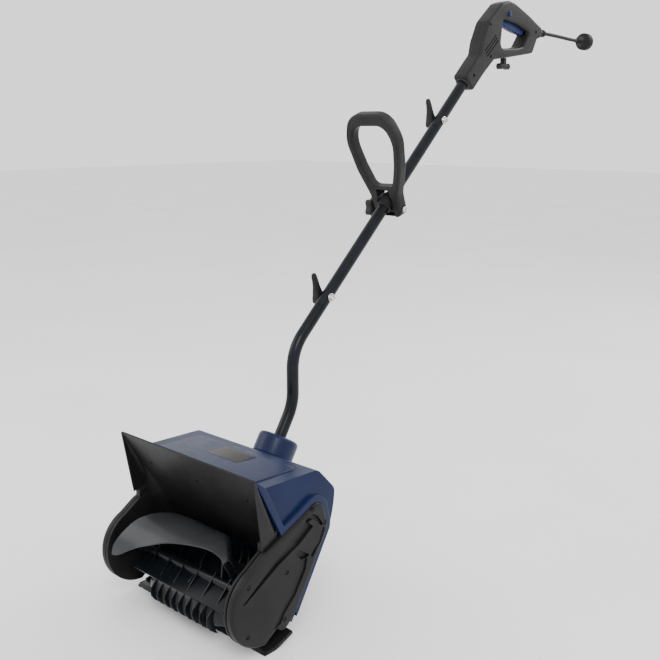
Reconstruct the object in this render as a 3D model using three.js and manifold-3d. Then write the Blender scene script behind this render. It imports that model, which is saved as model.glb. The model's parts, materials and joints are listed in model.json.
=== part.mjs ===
// Electric snow shovel, standing in its working attitude on its scraper bar.
// Millimetres. +Z is up, +Y runs back towards the user, +X is the shovel's belt side.
// Outlines are written in the side plane (Y, Z), measured from the scraper's front lip.
// The whole group is then moved so that the origin is the middle of the wear strip under the scraper.

import * as THREE from 'three';
import { mergeVertices } from 'three/addons/utils/BufferGeometryUtils.js';
import Module from 'manifold-3d';

const wasm = await Module();
wasm.setup();

// ---------- driving dimensions ----------
const GAP = 0.3; // clearance between touching pieces
const HALF_HEAD = 170; // half the width over the side covers
const HALF_BODY = 166; // half the width of housing, deflector and scraper
const HALF_CHAMBER = 150; // half the clear width of the auger chamber
const CHEEK = 5; // thickness of the plates that close the chamber's ends
const WALL = 3; // moulded wall
const FLANGE = 11; // width of the rim that runs round each side cover

const AUGER_AXIS = [0, 90];
const AUGER_RADIUS = 73;
const HUB_RADIUS = 10;
const SHAFT_RADIUS = 6;
const SHAFT_END = 163; // how far both shafts reach towards the side covers
const CHAMBER_RADIUS = 77;
const LOBE_RADIUS = 68.5; // front lobe of the cheek outline
const MOTOR_AXIS = [112, 192];
const MOTOR_RADIUS = 34;
const BEARING_RADIUS = 13;
const AUGER_PULLEY = 42;
const MOTOR_PULLEY = 10.5;
const BELT = 3; // belt thickness
const WEAR_STRIP = 24; // depth of the flat under the scraper

const VISOR_LIP = [-17, 294];
const FACE_FOOT = [68.5, 124.8]; // where the deflector face runs tangent into the chamber
const WING_FOOT = [31.5, 198];

const TUBE_RADIUS = 11;
const TUBE_BORE = 9.4;
const COLLAR_FOOT = [179.2, 240.1]; // where the shaft's axis leaves the housing
const COLLAR_RADIUS = 36.5;
const COLLAR_HEIGHT = 36;
const TUBE_KNEE = [232, 324];
const TUBE_BEND = [232, 422];
const LOWER_SEAM = [302.7, 489];
const UPPER_SEAM = [633, 801.2];
const BEND_RADIUS = 85;
const BOLT_RADIUS = 3;

const D_PIVOT = [499.8, 653]; // tilting bolt of the front handle, under the shaft
const D_LEAN = 21; // degrees forward of vertical
const D_DEPTH = 24;
const GRIP_HALF = 17; // half the width of the rear handle

const CORD_RADIUS = 4;
const CORD_EXIT = [1003, 1009];

// ---------- finishes ----------
const paint = (color, roughness, metalness = 0) => (
  new THREE.MeshStandardMaterial({ color, roughness, metalness })
);
const BLACK = paint(0x262626, 0.5);
const BLUE = paint(0x1e2d55, 0.35);
const TRIGGER_BLUE = paint(0x35508f, 0.45);
const DARK_GREY = paint(0x3a3b3d, 0.4);
const TUBE_PAINT = paint(0x14191e, 0.3, 0.4);
const STEEL = paint(0xc8c8c8, 0.3, 1);
const BELT_RUBBER = paint(0x1a1a1a, 0.85);
const BADGE = paint(0x23100c, 0.3);
const BRASS = paint(0xb08d4f, 0.35, 1);

// ---------- small maths ----------
const TURN = Math.PI * 2;
const rad = THREE.MathUtils.degToRad;
const span = (a, b) => [Math.min(a, b), Math.max(a, b)];
const plane = (points) => points.map(([y, z]) => new THREE.Vector2(y, z));
const COLLAR_TILT = Math.atan2(TUBE_KNEE[1] - COLLAR_FOOT[1], TUBE_KNEE[0] - COLLAR_FOOT[0]);
const SHAFT_DIRECTION = new THREE.Vector2(...UPPER_SEAM).sub(new THREE.Vector2(...LOWER_SEAM)).normalize();

// A closed outline from corners [y, z, radius]; a radius turns the corner into a smooth curve.
function outline(corners) {
  const at = (i) => new THREE.Vector2(...corners[(i + corners.length) % corners.length].slice(0, 2));
  const points = [];
  corners.forEach((entry, i) => {
    const radius = entry[2] ?? 0;
    const corner = at(i);
    if (radius === 0) {
      points.push(corner);
      return;
    }
    const before = at(i - 1).sub(corner);
    const after = at(i + 1).sub(corner);
    const between = Math.acos(before.dot(after) / (before.length() * after.length()));
    const reach = Math.min(radius / Math.tan(between / 2), before.length() * 0.49, after.length() * 0.49);
    const curve = new THREE.QuadraticBezierCurve(
      before.setLength(reach).add(corner), corner, after.setLength(reach).add(corner),
    );
    points.push(...curve.getPoints(Math.max(3, Math.ceil((Math.PI - between) / rad(15)))));
  });
  return points;
}

// Moves a closed outline outwards by a distance, or inwards where it is negative.
function grown(points, distance) {
  const side = THREE.ShapeUtils.isClockWise(points) ? -1 : 1;
  return points.map((point, i) => {
    const before = points[(i + points.length - 1) % points.length];
    const after = points[(i + 1) % points.length];
    const along = after.clone().sub(before).normalize();
    return new THREE.Vector2(point.x + along.y * distance * side, point.y - along.x * distance * side);
  });
}

// Points of an arc in the side plane, from one angle to another, in degrees.
function arc([y, z], radius, from, to, steps) {
  return Array.from({ length: steps + 1 }, (_, i) => {
    const angle = rad(from + ((to - from) * i) / steps);
    return new THREE.Vector2(y + radius * Math.cos(angle), z + radius * Math.sin(angle));
  });
}

// ---------- booleans ----------
function toManifold(geometry) {
  const bare = geometry.clone();
  bare.deleteAttribute('normal');
  bare.deleteAttribute('uv');
  const merged = mergeVertices(bare, 1e-4);
  return new wasm.Manifold(new wasm.Mesh({
    numProp: 3,
    vertProperties: new Float32Array(merged.attributes.position.array),
    triVerts: new Uint32Array(merged.index.array),
  }));
}

function toGeometry(solid) {
  const mesh = solid.getMesh();
  const geometry = new THREE.BufferGeometry();
  geometry.setAttribute('position', new THREE.BufferAttribute(new Float32Array(mesh.vertProperties), 3));
  geometry.setIndex(Array.from(mesh.triVerts));
  return geometry;
}

const cut = (geometry, ...tools) => toGeometry(
  tools.reduce((solid, tool) => solid.subtract(toManifold(tool)), toManifold(geometry)),
);
const join = (geometry, ...others) => toGeometry(
  others.reduce((solid, other) => solid.add(toManifold(other)), toManifold(geometry)),
);
const common = (geometry, other) => toGeometry(toManifold(geometry).intersect(toManifold(other)));

// ---------- shapes ----------
// A plate of a side-plane outline, from x0 to x1.
function slab(points, x0, x1, holes = []) {
  const shape = new THREE.Shape(points);
  shape.holes = holes.map((hole) => new THREE.Path(hole));
  const geometry = new THREE.ExtrudeGeometry(shape, { depth: x1 - x0, bevelEnabled: false, steps: 1 });
  const axes = new THREE.Matrix4().makeBasis(
    new THREE.Vector3(0, 1, 0), new THREE.Vector3(0, 0, 1), new THREE.Vector3(1, 0, 0),
  );
  return geometry.applyMatrix4(axes).translate(x0, 0, 0);
}

// A round bar along X.
function rod(radius, x0, x1, [y, z], sides = 18) {
  const geometry = new THREE.CylinderGeometry(radius, radius, x1 - x0, sides);
  return geometry.rotateZ(-Math.PI / 2).translate((x0 + x1) / 2, y, z);
}

const ring = (outer, inner, x0, x1, centre, sides = 20) => (
  cut(rod(outer, x0, x1, centre, sides), rod(inner, x0 - 1, x1 + 1, centre, sides))
);

// A turned piece. The profile is [radius, height] from the axis and back to it; its foot sits at a
// point of the side plane and its axis leans by an angle from +Y towards +Z.
function turned(profile, [y, z], angle, sides = 24) {
  const points = profile.map(([r, h]) => new THREE.Vector2(r, h));
  return new THREE.LatheGeometry(points, sides).rotateX(angle).translate(0, y, z);
}

const box = (x0, x1, y0, y1, z0, z1) => (
  new THREE.BoxGeometry(x1 - x0, y1 - y0, z1 - z0)
    .translate((x0 + x1) / 2, (y0 + y1) / 2, (z0 + z1) / 2)
);

// A closed solid through rings of Vector3 points, with flat ends.
function loft(rings) {
  const count = rings[0].length;
  const positions = rings.flat().flatMap((p) => p.toArray());
  const index = [];
  for (let i = 0; i < rings.length - 1; i += 1) {
    for (let j = 0; j < count; j += 1) {
      const a = i * count + j;
      const b = i * count + ((j + 1) % count);
      index.push(a, b, b + count, a, b + count, a + count);
    }
  }
  [0, rings.length - 1].forEach((end) => {
    const middle = positions.length / 3;
    const centre = rings[end].reduce((sum, p) => sum.add(p), new THREE.Vector3()).divideScalar(count);
    positions.push(...centre.toArray());
    for (let j = 0; j < count; j += 1) {
      const a = end * count + j;
      const b = end * count + ((j + 1) % count);
      index.push(...(end === 0 ? [middle, b, a] : [middle, a, b]));
    }
  });
  const geometry = new THREE.BufferGeometry();
  geometry.setAttribute('position', new THREE.BufferAttribute(new Float32Array(positions), 3));
  geometry.setIndex(index);
  return outward(geometry);
}

// Turns a closed mesh's faces outwards.
function outward(geometry) {
  const at = (i) => new THREE.Vector3().fromBufferAttribute(geometry.attributes.position, i);
  const faces = geometry.index.array;
  let volume = 0;
  for (let i = 0; i < faces.length; i += 3) {
    volume += at(faces[i]).dot(at(faces[i + 1]).cross(at(faces[i + 2])));
  }
  if (volume < 0) {
    geometry.setIndex(Array.from(faces).reverse());
  }
  return geometry;
}

// A bar of round section along a path of the side plane.
function barAlong(path, radius, sides) {
  const rings = path.map(([y, z], i) => {
    const [y0, z0] = path[Math.max(i - 1, 0)];
    const [y1, z1] = path[Math.min(i + 1, path.length - 1)];
    const along = new THREE.Vector3(0, y1 - y0, z1 - z0).normalize();
    const up = new THREE.Vector3(1, 0, 0).cross(along);
    return Array.from({ length: sides }, (_, k) => {
      const angle = (TURN * k) / sides;
      return new THREE.Vector3(0, y, z)
        .addScaledVector(new THREE.Vector3(1, 0, 0), radius * Math.cos(angle))
        .addScaledVector(up, radius * Math.sin(angle));
    });
  });
  return loft(rings);
}

// A point of the shaft's straight line: s along it from the lower seam, n across it, n < 0 below.
function onShaft(s, n = 0) {
  const [y, z] = LOWER_SEAM;
  return [
    y + SHAFT_DIRECTION.x * s - SHAFT_DIRECTION.y * n,
    z + SHAFT_DIRECTION.y * s + SHAFT_DIRECTION.x * n,
  ];
}

const shovel = new THREE.Group();
shovel.position.y = -WEAR_STRIP / 2;

function place(name, geometry, material) {
  const mesh = new THREE.Mesh(geometry, material);
  mesh.name = name;
  shovel.add(mesh);
}

// ---------- head: shared outlines ----------
// Side plate and cover: round front lobe, flat foot, straight rear edge and a round top corner.
const cheekOutline = [
  ...outline([
    [-28, 152.5], [0, 171, 40], [84, 207, 40], [129, 229, 26], [141, 172, 12], [64, 46, 40], [34, 21.5, 30],
  ]).slice(1),
  ...arc(AUGER_AXIS, LOBE_RADIUS, 270, 114, 12),
];
const faceAlong = new THREE.Vector2(...FACE_FOOT).sub(new THREE.Vector2(...VISOR_LIP)).normalize();
// A point of the deflector face, a distance down from its lip and another behind it.
const onFace = (down, behind = 0) => [
  VISOR_LIP[0] + faceAlong.x * down - faceAlong.y * behind,
  VISOR_LIP[1] + faceAlong.y * down + faceAlong.x * behind,
];
const FACE_LENGTH = Math.hypot(FACE_FOOT[0] - VISOR_LIP[0], FACE_FOOT[1] - VISOR_LIP[1]);
const TANGENT = THREE.MathUtils.radToDeg(
  Math.atan2(FACE_FOOT[1] - AUGER_AXIS[1], FACE_FOOT[0] - AUGER_AXIS[0]),
);

function chamberWall() {
  const points = [
    ...arc(AUGER_AXIS, CHAMBER_RADIUS, -84, TANGENT - 1, 16),
    ...arc(AUGER_AXIS, CHAMBER_RADIUS + WALL, TANGENT - 1, -38, 10),
    ...plane([[60, 20.3], [22, 7.6], [6, 6.8], [0, 10]]),
  ];
  return slab(points, -HALF_CHAMBER, HALF_CHAMBER);
}

// Snow deflector: a sloped face, narrower below its wings, and a rim on each side plate.
function deflector() {
  const face = slab(
    plane([onFace(0), onFace(FACE_LENGTH - GAP), onFace(FACE_LENGTH - GAP, WALL), onFace(2, WALL)]),
    -HALF_BODY,
    HALF_BODY,
  );
  const corners = [-1, 1].map((side) => {
    const [x0, x1] = span(side * (HALF_CHAMBER - GAP), side * (HALF_BODY + 1));
    return box(x0, x1, -60, 120, 60, WING_FOOT[1]);
  });
  const wing = plane([VISOR_LIP, [-1, 183], [30, 196], [36, 200]]);
  const rim = plane([[-4, 171.6], [33, 187], [34, 198.5], [-1, 184.5]]);
  const sides = [-1, 1].flatMap((side) => [
    slab(wing, ...span(side * (HALF_BODY - 4), side * HALF_BODY)),
    slab(rim, ...span(side * (HALF_CHAMBER + GAP), side * HALF_BODY)),
  ]);
  return join(cut(face, ...corners), ...sides);
}

function scraper() {
  const profile = plane([[0, 0], [WEAR_STRIP, 0], [62.5, 13.5], [60.8, 19.6], [22, 6.5], [5, 6], [0, 1.5]]);
  return slab(profile, -HALF_BODY, HALF_BODY);
}

// ---------- blue motor housing ----------
// A moulded shell behind the chamber, open towards it, with a rim round each side cover
// and a boss at the back for the shaft's collar.
function motorHousing() {
  const silhouette = outline([
    [0.8, 268, 3], [140, 264.5, 12], [171, 226, 14], [163, 190, 20], [156, 166, 12], [77, 43, 14],
    [66, 28.5],
  ]);
  const chamberSide = [
    ...arc(AUGER_AXIS, CHAMBER_RADIUS + WALL + GAP, -36, TANGENT, 10),
    new THREE.Vector2(...onFace(2, WALL + GAP)),
  ];
  const behindDeflector = plane([[36, 150], [34.6, 300], [200, 300], [200, 28], [75, 28], [66, 60]]);
  const rims = [-1, 1].map((side) => {
    const [x0, x1] = span(side * (HALF_CHAMBER - 1), side * HALF_BODY);
    const rim = common(slab(grown(cheekOutline, FLANGE), x0, x1), slab(behindDeflector, x0 - 1, x1 + 1));
    const inside = slab(grown(cheekOutline, GAP), ...span(side * HALF_CHAMBER, side * HALF_HEAD));
    return cut(rim, inside);
  });
  const boss = turned([[0, -50], [38, -50], [38, -GAP], [0, -GAP]], COLLAR_FOOT, COLLAR_TILT);
  const bore = turned([[0, -44], [30, -44], [30, -10], [0, -10]], COLLAR_FOOT, COLLAR_TILT);
  const socket = turned([[0, -12], [24, -12], [24, 1], [0, 1]], COLLAR_FOOT, COLLAR_TILT);
  const inFront = plane([
    onFace(-30, WALL + GAP), onFace(FACE_LENGTH, WALL + GAP), onFace(FACE_LENGTH, -80), onFace(-30, -80),
  ]);
  const cavity = plane([
    [-40, 264.5], [137, 261], [167, 226], [159.5, 191], [152, 168], [74, 48], [68, 42], [-60, 42],
  ]);
  return cut(
    join(slab([...silhouette, ...chamberSide], -HALF_CHAMBER, HALF_CHAMBER), ...rims, boss),
    slab(cavity, -HALF_CHAMBER + WALL, HALF_CHAMBER - WALL),
    bore,
    socket,
    slab(inFront, -HALF_CHAMBER, HALF_CHAMBER),
    rod(CHAMBER_RADIUS + WALL + GAP, -HALF_CHAMBER, HALF_CHAMBER, AUGER_AXIS, 48),
    rod(SHAFT_RADIUS, 0, HALF_HEAD, MOTOR_AXIS),
  );
}

// Round socket on the housing that the lower tube is pressed into.
function shaftCollar() {
  const bore = TUBE_RADIUS + GAP;
  const profile = [
    [bore, -9], [23.6, -9], [23.6, 0], [COLLAR_RADIUS, 0], [COLLAR_RADIUS, COLLAR_HEIGHT - 5],
    [COLLAR_RADIUS - 4, COLLAR_HEIGHT], [bore, COLLAR_HEIGHT], [bore, -9],
  ];
  return turned(profile, COLLAR_FOOT, COLLAR_TILT, 32);
}

// ---------- side plates and covers ----------
const COVER_SCREWS = [[104, 211], [132, 183], [46, 128], [-34, 132], [40, 50], [-36, 52]];
const onSide = (side, near, far) => span(side * near, side * far);

function cheek(side) {
  const [x0, x1] = onSide(side, HALF_CHAMBER + GAP, HALF_CHAMBER + CHEEK);
  const holes = [rod(BEARING_RADIUS + GAP, x0 - 1, x1 + 1, AUGER_AXIS)];
  if (side > 0) {
    holes.push(rod(SHAFT_RADIUS + 2, x0 - 1, x1 + 1, MOTOR_AXIS));
  }
  return cut(slab(cheekOutline, x0, x1), ...holes);
}

function sideCover(side) {
  const [x0, x1] = onSide(side, HALF_CHAMBER + CHEEK + GAP, HALF_HEAD);
  const hollow = slab(grown(cheekOutline, -WALL), ...onSide(side, HALF_CHAMBER, HALF_HEAD - WALL));
  const posts = COVER_SCREWS.map((centre) => rod(5, x0, x1, centre, 8));
  const holes = COVER_SCREWS.map((centre) => rod(2.1, x0 - 1, x1 + 1, centre, 8));
  const recesses = COVER_SCREWS.map((centre) => (
    rod(3.9, ...onSide(side, HALF_HEAD - 2.5, HALF_HEAD + 1), centre, 8)
  ));
  return cut(join(cut(slab(cheekOutline, x0, x1), hollow), ...posts), ...holes, ...recesses);
}

function coverScrew(side, centre) {
  const shank = onSide(side, HALF_CHAMBER + CHEEK + 0.6, HALF_HEAD - 1.5);
  const head = onSide(side, HALF_HEAD - 2.2, HALF_HEAD - 0.4);
  return join(rod(1.8, ...shank, centre, 8), rod(3.5, ...head, centre, 8));
}

// ---------- drive ----------
function motorCan() {
  const can = ring(MOTOR_RADIUS, MOTOR_RADIUS - 2.5, -60, 80, MOTOR_AXIS);
  return join(can, ring(MOTOR_RADIUS - 1, SHAFT_RADIUS + 1, 77, 80, MOTOR_AXIS));
}

function motorEndCap() {
  const cap = ring(MOTOR_RADIUS, SHAFT_RADIUS + 1, -68, -60.4, MOTOR_AXIS);
  const vents = [0, 1, 2, 3, 4, 5].map((i) => {
    const angle = (TURN * i) / 6;
    const centre = [MOTOR_AXIS[0] + 20 * Math.cos(angle), MOTOR_AXIS[1] + 20 * Math.sin(angle)];
    return rod(5, -70, -58, centre, 12);
  });
  return cut(cap, ...vents);
}

const motorRotor = () => join(
  rod(SHAFT_RADIUS - 1, -74, SHAFT_END, MOTOR_AXIS, 16),
  rod(MOTOR_RADIUS - 7, -40, 62, MOTOR_AXIS, 20),
);

function coolingFan() {
  const blades = Array.from({ length: 8 }, (_, i) => (
    box(100, 112, -2, 2, 10, MOTOR_RADIUS - 2)
      .rotateX((TURN * i) / 8)
      .translate(0, ...MOTOR_AXIS)
  ));
  return cut(
    join(rod(MOTOR_RADIUS - 2, 97, 101, MOTOR_AXIS), rod(12, 96, 112, MOTOR_AXIS), ...blades),
    rod(SHAFT_RADIUS - 1 + GAP, 90, 120, MOTOR_AXIS),
  );
}

const PULLEY_SPAN = [HALF_CHAMBER + CHEEK + 1.5, HALF_HEAD - 7.5];

function pulley(radius, bore, centre) {
  return ring(radius, bore + GAP, ...PULLEY_SPAN, centre, 32);
}

// Toothed belt, drawn as a smooth loop round both pulleys.
function driveBelt() {
  const [dy, dz] = [MOTOR_AXIS[0] - AUGER_AXIS[0], MOTOR_AXIS[1] - AUGER_AXIS[1]];
  const reach = Math.hypot(dy, dz);
  const lean = THREE.MathUtils.radToDeg(Math.atan2(dz, dy));
  const wrap = THREE.MathUtils.radToDeg(Math.acos((AUGER_PULLEY - MOTOR_PULLEY) / reach));
  const loop = (more) => [
    ...arc(AUGER_AXIS, AUGER_PULLEY + more, lean + wrap, lean + 360 - wrap, 24),
    ...arc(MOTOR_AXIS, MOTOR_PULLEY + more, lean - wrap, lean + wrap, 12),
  ];
  const [x0, x1] = PULLEY_SPAN;
  return cut(slab(loop(GAP + BELT), x0 + 0.5, x1 - 0.5), slab(loop(GAP), x0 - 1, x1 + 1));
}

const augerShaft = () => rod(SHAFT_RADIUS, -SHAFT_END, SHAFT_END, AUGER_AXIS, 20);

function bearing(side) {
  const [x0, x1] = onSide(side, HALF_CHAMBER - 1, HALF_CHAMBER + CHEEK + 1);
  return ring(BEARING_RADIUS, SHAFT_RADIUS + GAP, x0, x1, AUGER_AXIS);
}

// Auger: a hub, two paddles half a turn apart whose ends lead their middles, and ribs that back them.
const HALF_AUGER = 144;
const SPINE_ANGLE = 32; // lean of the flat plate through the hub; the other end points down and forward
const SPINE_REACH = 44;
const CURL = 32; // degrees over which a scoop's shell rises from the spine to its full radius
const SHELL = 3.4;
// Each scoop's shell, place by place along the axis: its trailing and leading edges, in degrees.
const SCOOP = [
  [-132, 150, 173], [-116, 96, 170], [-96, 64, 160], [-76, 42, 150], [-50, 32, 140], [-20, 32, 128],
  [10, 32, 120], [46, 36, 113], [71, 62, 111], [98, 90, 114], [116, 106, 121],
];
const polar = (radius, degrees) => (
  new THREE.Vector2(radius * Math.cos(rad(degrees)), radius * Math.sin(rad(degrees)))
);

function scoopShell(turn) {
  return loft(SCOOP.map(([x, trailing, leading]) => {
    const curl = Math.min(CURL, (leading - trailing) / 2);
    const curled = [0, 1, 2, 3].map((i) => [
      SPINE_REACH + (AUGER_RADIUS - SPINE_REACH) * Math.sin((Math.PI * i) / 8),
      trailing + (curl * i) / 4,
    ]);
    const round = [0, 1, 2, 3, 4].map((i) => [
      AUGER_RADIUS,
      trailing + curl + ((leading - trailing - curl) * i) / 4,
    ]);
    const outside = [...curled, ...round];
    const inside = outside.map(([radius, angle]) => [radius - SHELL, angle]).reverse();
    return [...outside, ...inside].map(([radius, angle]) => {
      const point = polar(radius, angle + turn);
      return new THREE.Vector3(x, AUGER_AXIS[0] + point.x, AUGER_AXIS[1] + point.y);
    });
  }));
}

// One plate across the axis, moved onto it and turned with its half of the rotor.
function acrossAxis(points, x, half, turn) {
  return slab(points, x - half, x + half).rotateX(rad(turn)).translate(0, ...AUGER_AXIS);
}

// Arms that carry the shell's ends, webs on the spine and hooked claws outside the shell's curl.
function scoopRibs(turn) {
  const arms = SCOOP.filter((row, i) => i % 2 === 0).map(([x, trailing, leading]) => {
    const tip = Math.min(trailing + 24, leading - 1);
    const points = [
      polar(AUGER_RADIUS - 1.5, tip), polar(HUB_RADIUS - 2, tip + 20), polar(HUB_RADIUS - 2, trailing - 30),
      polar(SPINE_REACH - 1.5, trailing + 1), polar(AUGER_RADIUS - 10, (trailing + tip) / 2),
    ];
    return acrossAxis(points, x < 0 ? x + 2 : x - 2, 1.5, turn);
  });
  const webs = [-90, -54, -18, 18, 54, 90].map((x) => acrossAxis(
    [polar(SPINE_REACH - 2, SPINE_ANGLE), polar(HUB_RADIUS + 5, -90), polar(HUB_RADIUS - 2, 180)],
    x,
    1,
    turn,
  ));
  const claws = Array.from({ length: 9 }, (_, i) => acrossAxis(
    [
      polar(40, SPINE_ANGLE + 1), polar(46, SPINE_ANGLE - 1), polar(65, SPINE_ANGLE + 5),
      polar(AUGER_RADIUS, SPINE_ANGLE + 28), polar(56, SPINE_ANGLE + 13),
    ],
    -54 + 18 * i,
    1,
    turn,
  ));
  return [...arms, ...webs, ...claws];
}

function auger() {
  const edge = (radius, side) => polar(radius, SPINE_ANGLE).add(polar(side * SHELL * 0.5, SPINE_ANGLE + 90));
  const spine = slab(
    [edge(-SPINE_REACH, -1), edge(SPINE_REACH, -1), edge(SPINE_REACH, 1), edge(-SPINE_REACH, 1)],
    -120,
    112,
  ).translate(0, ...AUGER_AXIS);
  const halves = [0, 180].flatMap((turn) => [scoopShell(turn), ...scoopRibs(turn)]);
  return cut(
    join(rod(HUB_RADIUS, -HALF_AUGER, HALF_AUGER, AUGER_AXIS), spine, ...halves),
    rod(SHAFT_RADIUS + GAP, -HALF_CHAMBER, HALF_CHAMBER, AUGER_AXIS, 20),
  );
}

// ---------- shaft ----------
function lowerTubePath() {
  const inside = [
    COLLAR_FOOT[0] - 8 * Math.cos(COLLAR_TILT),
    COLLAR_FOOT[1] - 8 * Math.sin(COLLAR_TILT),
  ];
  const turnAt = (before, corner, after) => {
    const c = new THREE.Vector2(...corner);
    const a = new THREE.Vector2(...before).sub(c);
    const b = new THREE.Vector2(...after).sub(c);
    const between = Math.acos(a.dot(b) / (a.length() * b.length()));
    const reach = BEND_RADIUS / Math.tan(between / 2);
    const bend = new THREE.QuadraticBezierCurve(a.setLength(reach).add(c), c, b.setLength(reach).add(c));
    return bend.getPoints(6);
  };
  return [
    inside,
    ...turnAt(inside, TUBE_KNEE, TUBE_BEND).map((p) => p.toArray()),
    ...turnAt(TUBE_KNEE, TUBE_BEND, LOWER_SEAM).map((p) => p.toArray()),
    onShaft(-GAP),
  ];
}

function tube(path, holes = []) {
  const [first, second] = path;
  const [last, previous] = [path.at(-1), path.at(-2)];
  const extend = ([y0, z0], [y1, z1]) => {
    const length = Math.hypot(y1 - y0, z1 - z0);
    return [y1 + (y1 - y0) / length, z1 + (z1 - z0) / length];
  };
  const bore = [extend(second, first), ...path, extend(previous, last)];
  const cross = holes.map((centre) => rod(BOLT_RADIUS + GAP, -20, 20, centre, 10));
  return cut(barAlong(path, TUBE_RADIUS, 16), barAlong(bore, TUBE_BORE, 12), ...cross);
}

const JOINT_BOLT = 24; // from each seam up to its bolt
const SHAFT_LENGTH = Math.hypot(UPPER_SEAM[0] - LOWER_SEAM[0], UPPER_SEAM[1] - LOWER_SEAM[1]);
const lowerBolt = onShaft(JOINT_BOLT);
const upperBolt = onShaft(SHAFT_LENGTH + JOINT_BOLT);

// Liner inside a tube joint.
function sleeve(seam) {
  const s = Math.hypot(seam[0] - LOWER_SEAM[0], seam[1] - LOWER_SEAM[1]);
  const path = [onShaft(s - 28), onShaft(s + 40)];
  return cut(
    barAlong(path, TUBE_BORE - GAP - 0.4, 12),
    barAlong([onShaft(s - 29), onShaft(s + 41)], TUBE_BORE - 2.5, 12),
    rod(BOLT_RADIUS + GAP, -20, 20, onShaft(s + JOINT_BOLT), 10),
  );
}

// Headed bolt through a tube joint, head on the +X side, and the quick lever's pin on the other.
const jointBolt = (centre) => join(
  rod(BOLT_RADIUS, -19, 14, centre, 14),
  rod(6, TUBE_RADIUS + 1, TUBE_RADIUS + 6, centre, 16),
);

// Quick lever: a hub on the bolt, a long paddle up along the shaft and a short tail.
function jointLever(centre) {
  const [y, z] = centre;
  const tip = [y - 12, z + 42];
  const tail = [y - 3, z - 12];
  const sections = [[tail, 7, 8], [centre, 9, 9], [[y - 5, z + 16], 6, 6], [tip, 4.5, 3.5]];
  const blade = loft(sections.map(([at, wide, deep]) => {
    const across = [wide * 0.94, wide * 0.34];
    return [[-1, -1], [1, -1], [1, 1], [-1, 1]].map(([u, v]) => new THREE.Vector3(
      -TUBE_RADIUS - 10 + v * deep,
      at[0] + u * across[0],
      at[1] + u * across[1],
    ));
  }));
  return cut(
    blade,
    rod(TUBE_RADIUS + 1.6, -TUBE_RADIUS - 1.2, 10, centre, 20),
    rod(BOLT_RADIUS + GAP, -40, 0, centre, 14),
  );
}

// ---------- front handle ----------
const D_DIRECTION = new THREE.Vector2(-Math.sin(rad(D_LEAN)), Math.cos(rad(D_LEAN)));

// A plate drawn in the front handle's own plane (x across, v up its lean), thick from n0 to n1 behind it.
function handlePlate(corners, n0, n1, holes = []) {
  const shape = new THREE.Shape(outline(corners));
  shape.holes = holes.map((hole) => new THREE.Path(outline(hole)));
  const geometry = new THREE.ExtrudeGeometry(shape, { depth: n1 - n0, bevelEnabled: false, steps: 1 });
  const up = new THREE.Vector3(0, D_DIRECTION.x, D_DIRECTION.y);
  const across = new THREE.Vector3(1, 0, 0);
  const axes = new THREE.Matrix4().makeBasis(across, up, across.clone().cross(up));
  return geometry.translate(0, 0, n0).applyMatrix4(axes).translate(0, ...D_PIVOT);
}

const mirrored = (corners) => [
  ...corners,
  ...corners.map(([x, v, radius]) => [-x, v, radius]).reverse(),
];

function frontHandle() {
  const outer = mirrored([[32, -14, 14], [33, 30, 40], [52, 80, 80], [63, 140, 60], [44, 190, 40]]);
  const inner = mirrored([[24, 48, 14], [38, 88, 60], [48, 135, 50], [34, 167, 26]]);
  const body = handlePlate(outer, -D_DEPTH / 2, D_DEPTH / 2, [inner]);
  const fork = handlePlate([[-18, -40], [18, -40], [18, 31, 10], [-18, 31, 10]], -40, 40);
  const archPoint = (n, v) => new THREE.Vector2(
    D_PIVOT[0] + D_DIRECTION.x * v - D_DIRECTION.y * n,
    D_PIVOT[1] + D_DIRECTION.y * v + D_DIRECTION.x * n,
  );
  // Underside of the lower bar, hollowed so that it passes over the shaft as the handle tilts.
  const archCorners = [[-20, 48.6], [-20, -20], [20, -20], [20, 48.6], [0, 36.2]];
  const arch = slab(archCorners.map(([n, v]) => archPoint(n, v)), -TUBE_RADIUS - 4, TUBE_RADIUS + 4);
  return cut(body, fork, arch, rod(BOLT_RADIUS + GAP, -40, 40, D_PIVOT, 12));
}

// Split clamp round the shaft, with the lug below that the handle's bolt squeezes.
function frontClamp() {
  const s = new THREE.Vector2(...D_PIVOT).sub(new THREE.Vector2(...LOWER_SEAM)).dot(SHAFT_DIRECTION);
  const collar = barAlong([onShaft(s - 15), onShaft(s + 15)], TUBE_RADIUS + 2.5, 20);
  return cut(
    join(collar, rod(9, -17.4, 17.4, D_PIVOT, 16)),
    barAlong([onShaft(s - 30), onShaft(s + 30)], TUBE_RADIUS + GAP, 16),
    rod(BOLT_RADIUS + GAP, -40, 40, D_PIVOT, 12),
  );
}

const frontBolt = () => join(
  rod(BOLT_RADIUS, -42, 33, D_PIVOT, 14),
  rod(6.4, 32.6, 37, D_PIVOT, 6),
);

function frontKnob() {
  const lobes = Array.from({ length: 5 }, (_, i) => {
    const angle = (TURN * i) / 5;
    return rod(6.5, -50, -34.4, [D_PIVOT[0] + 15 * Math.cos(angle), D_PIVOT[1] + 15 * Math.sin(angle)], 10);
  });
  return cut(
    join(rod(16, -50, -33.4, D_PIVOT, 24), ...lobes),
    rod(BOLT_RADIUS + GAP, -44, -30, D_PIVOT, 14),
  );
}

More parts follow.
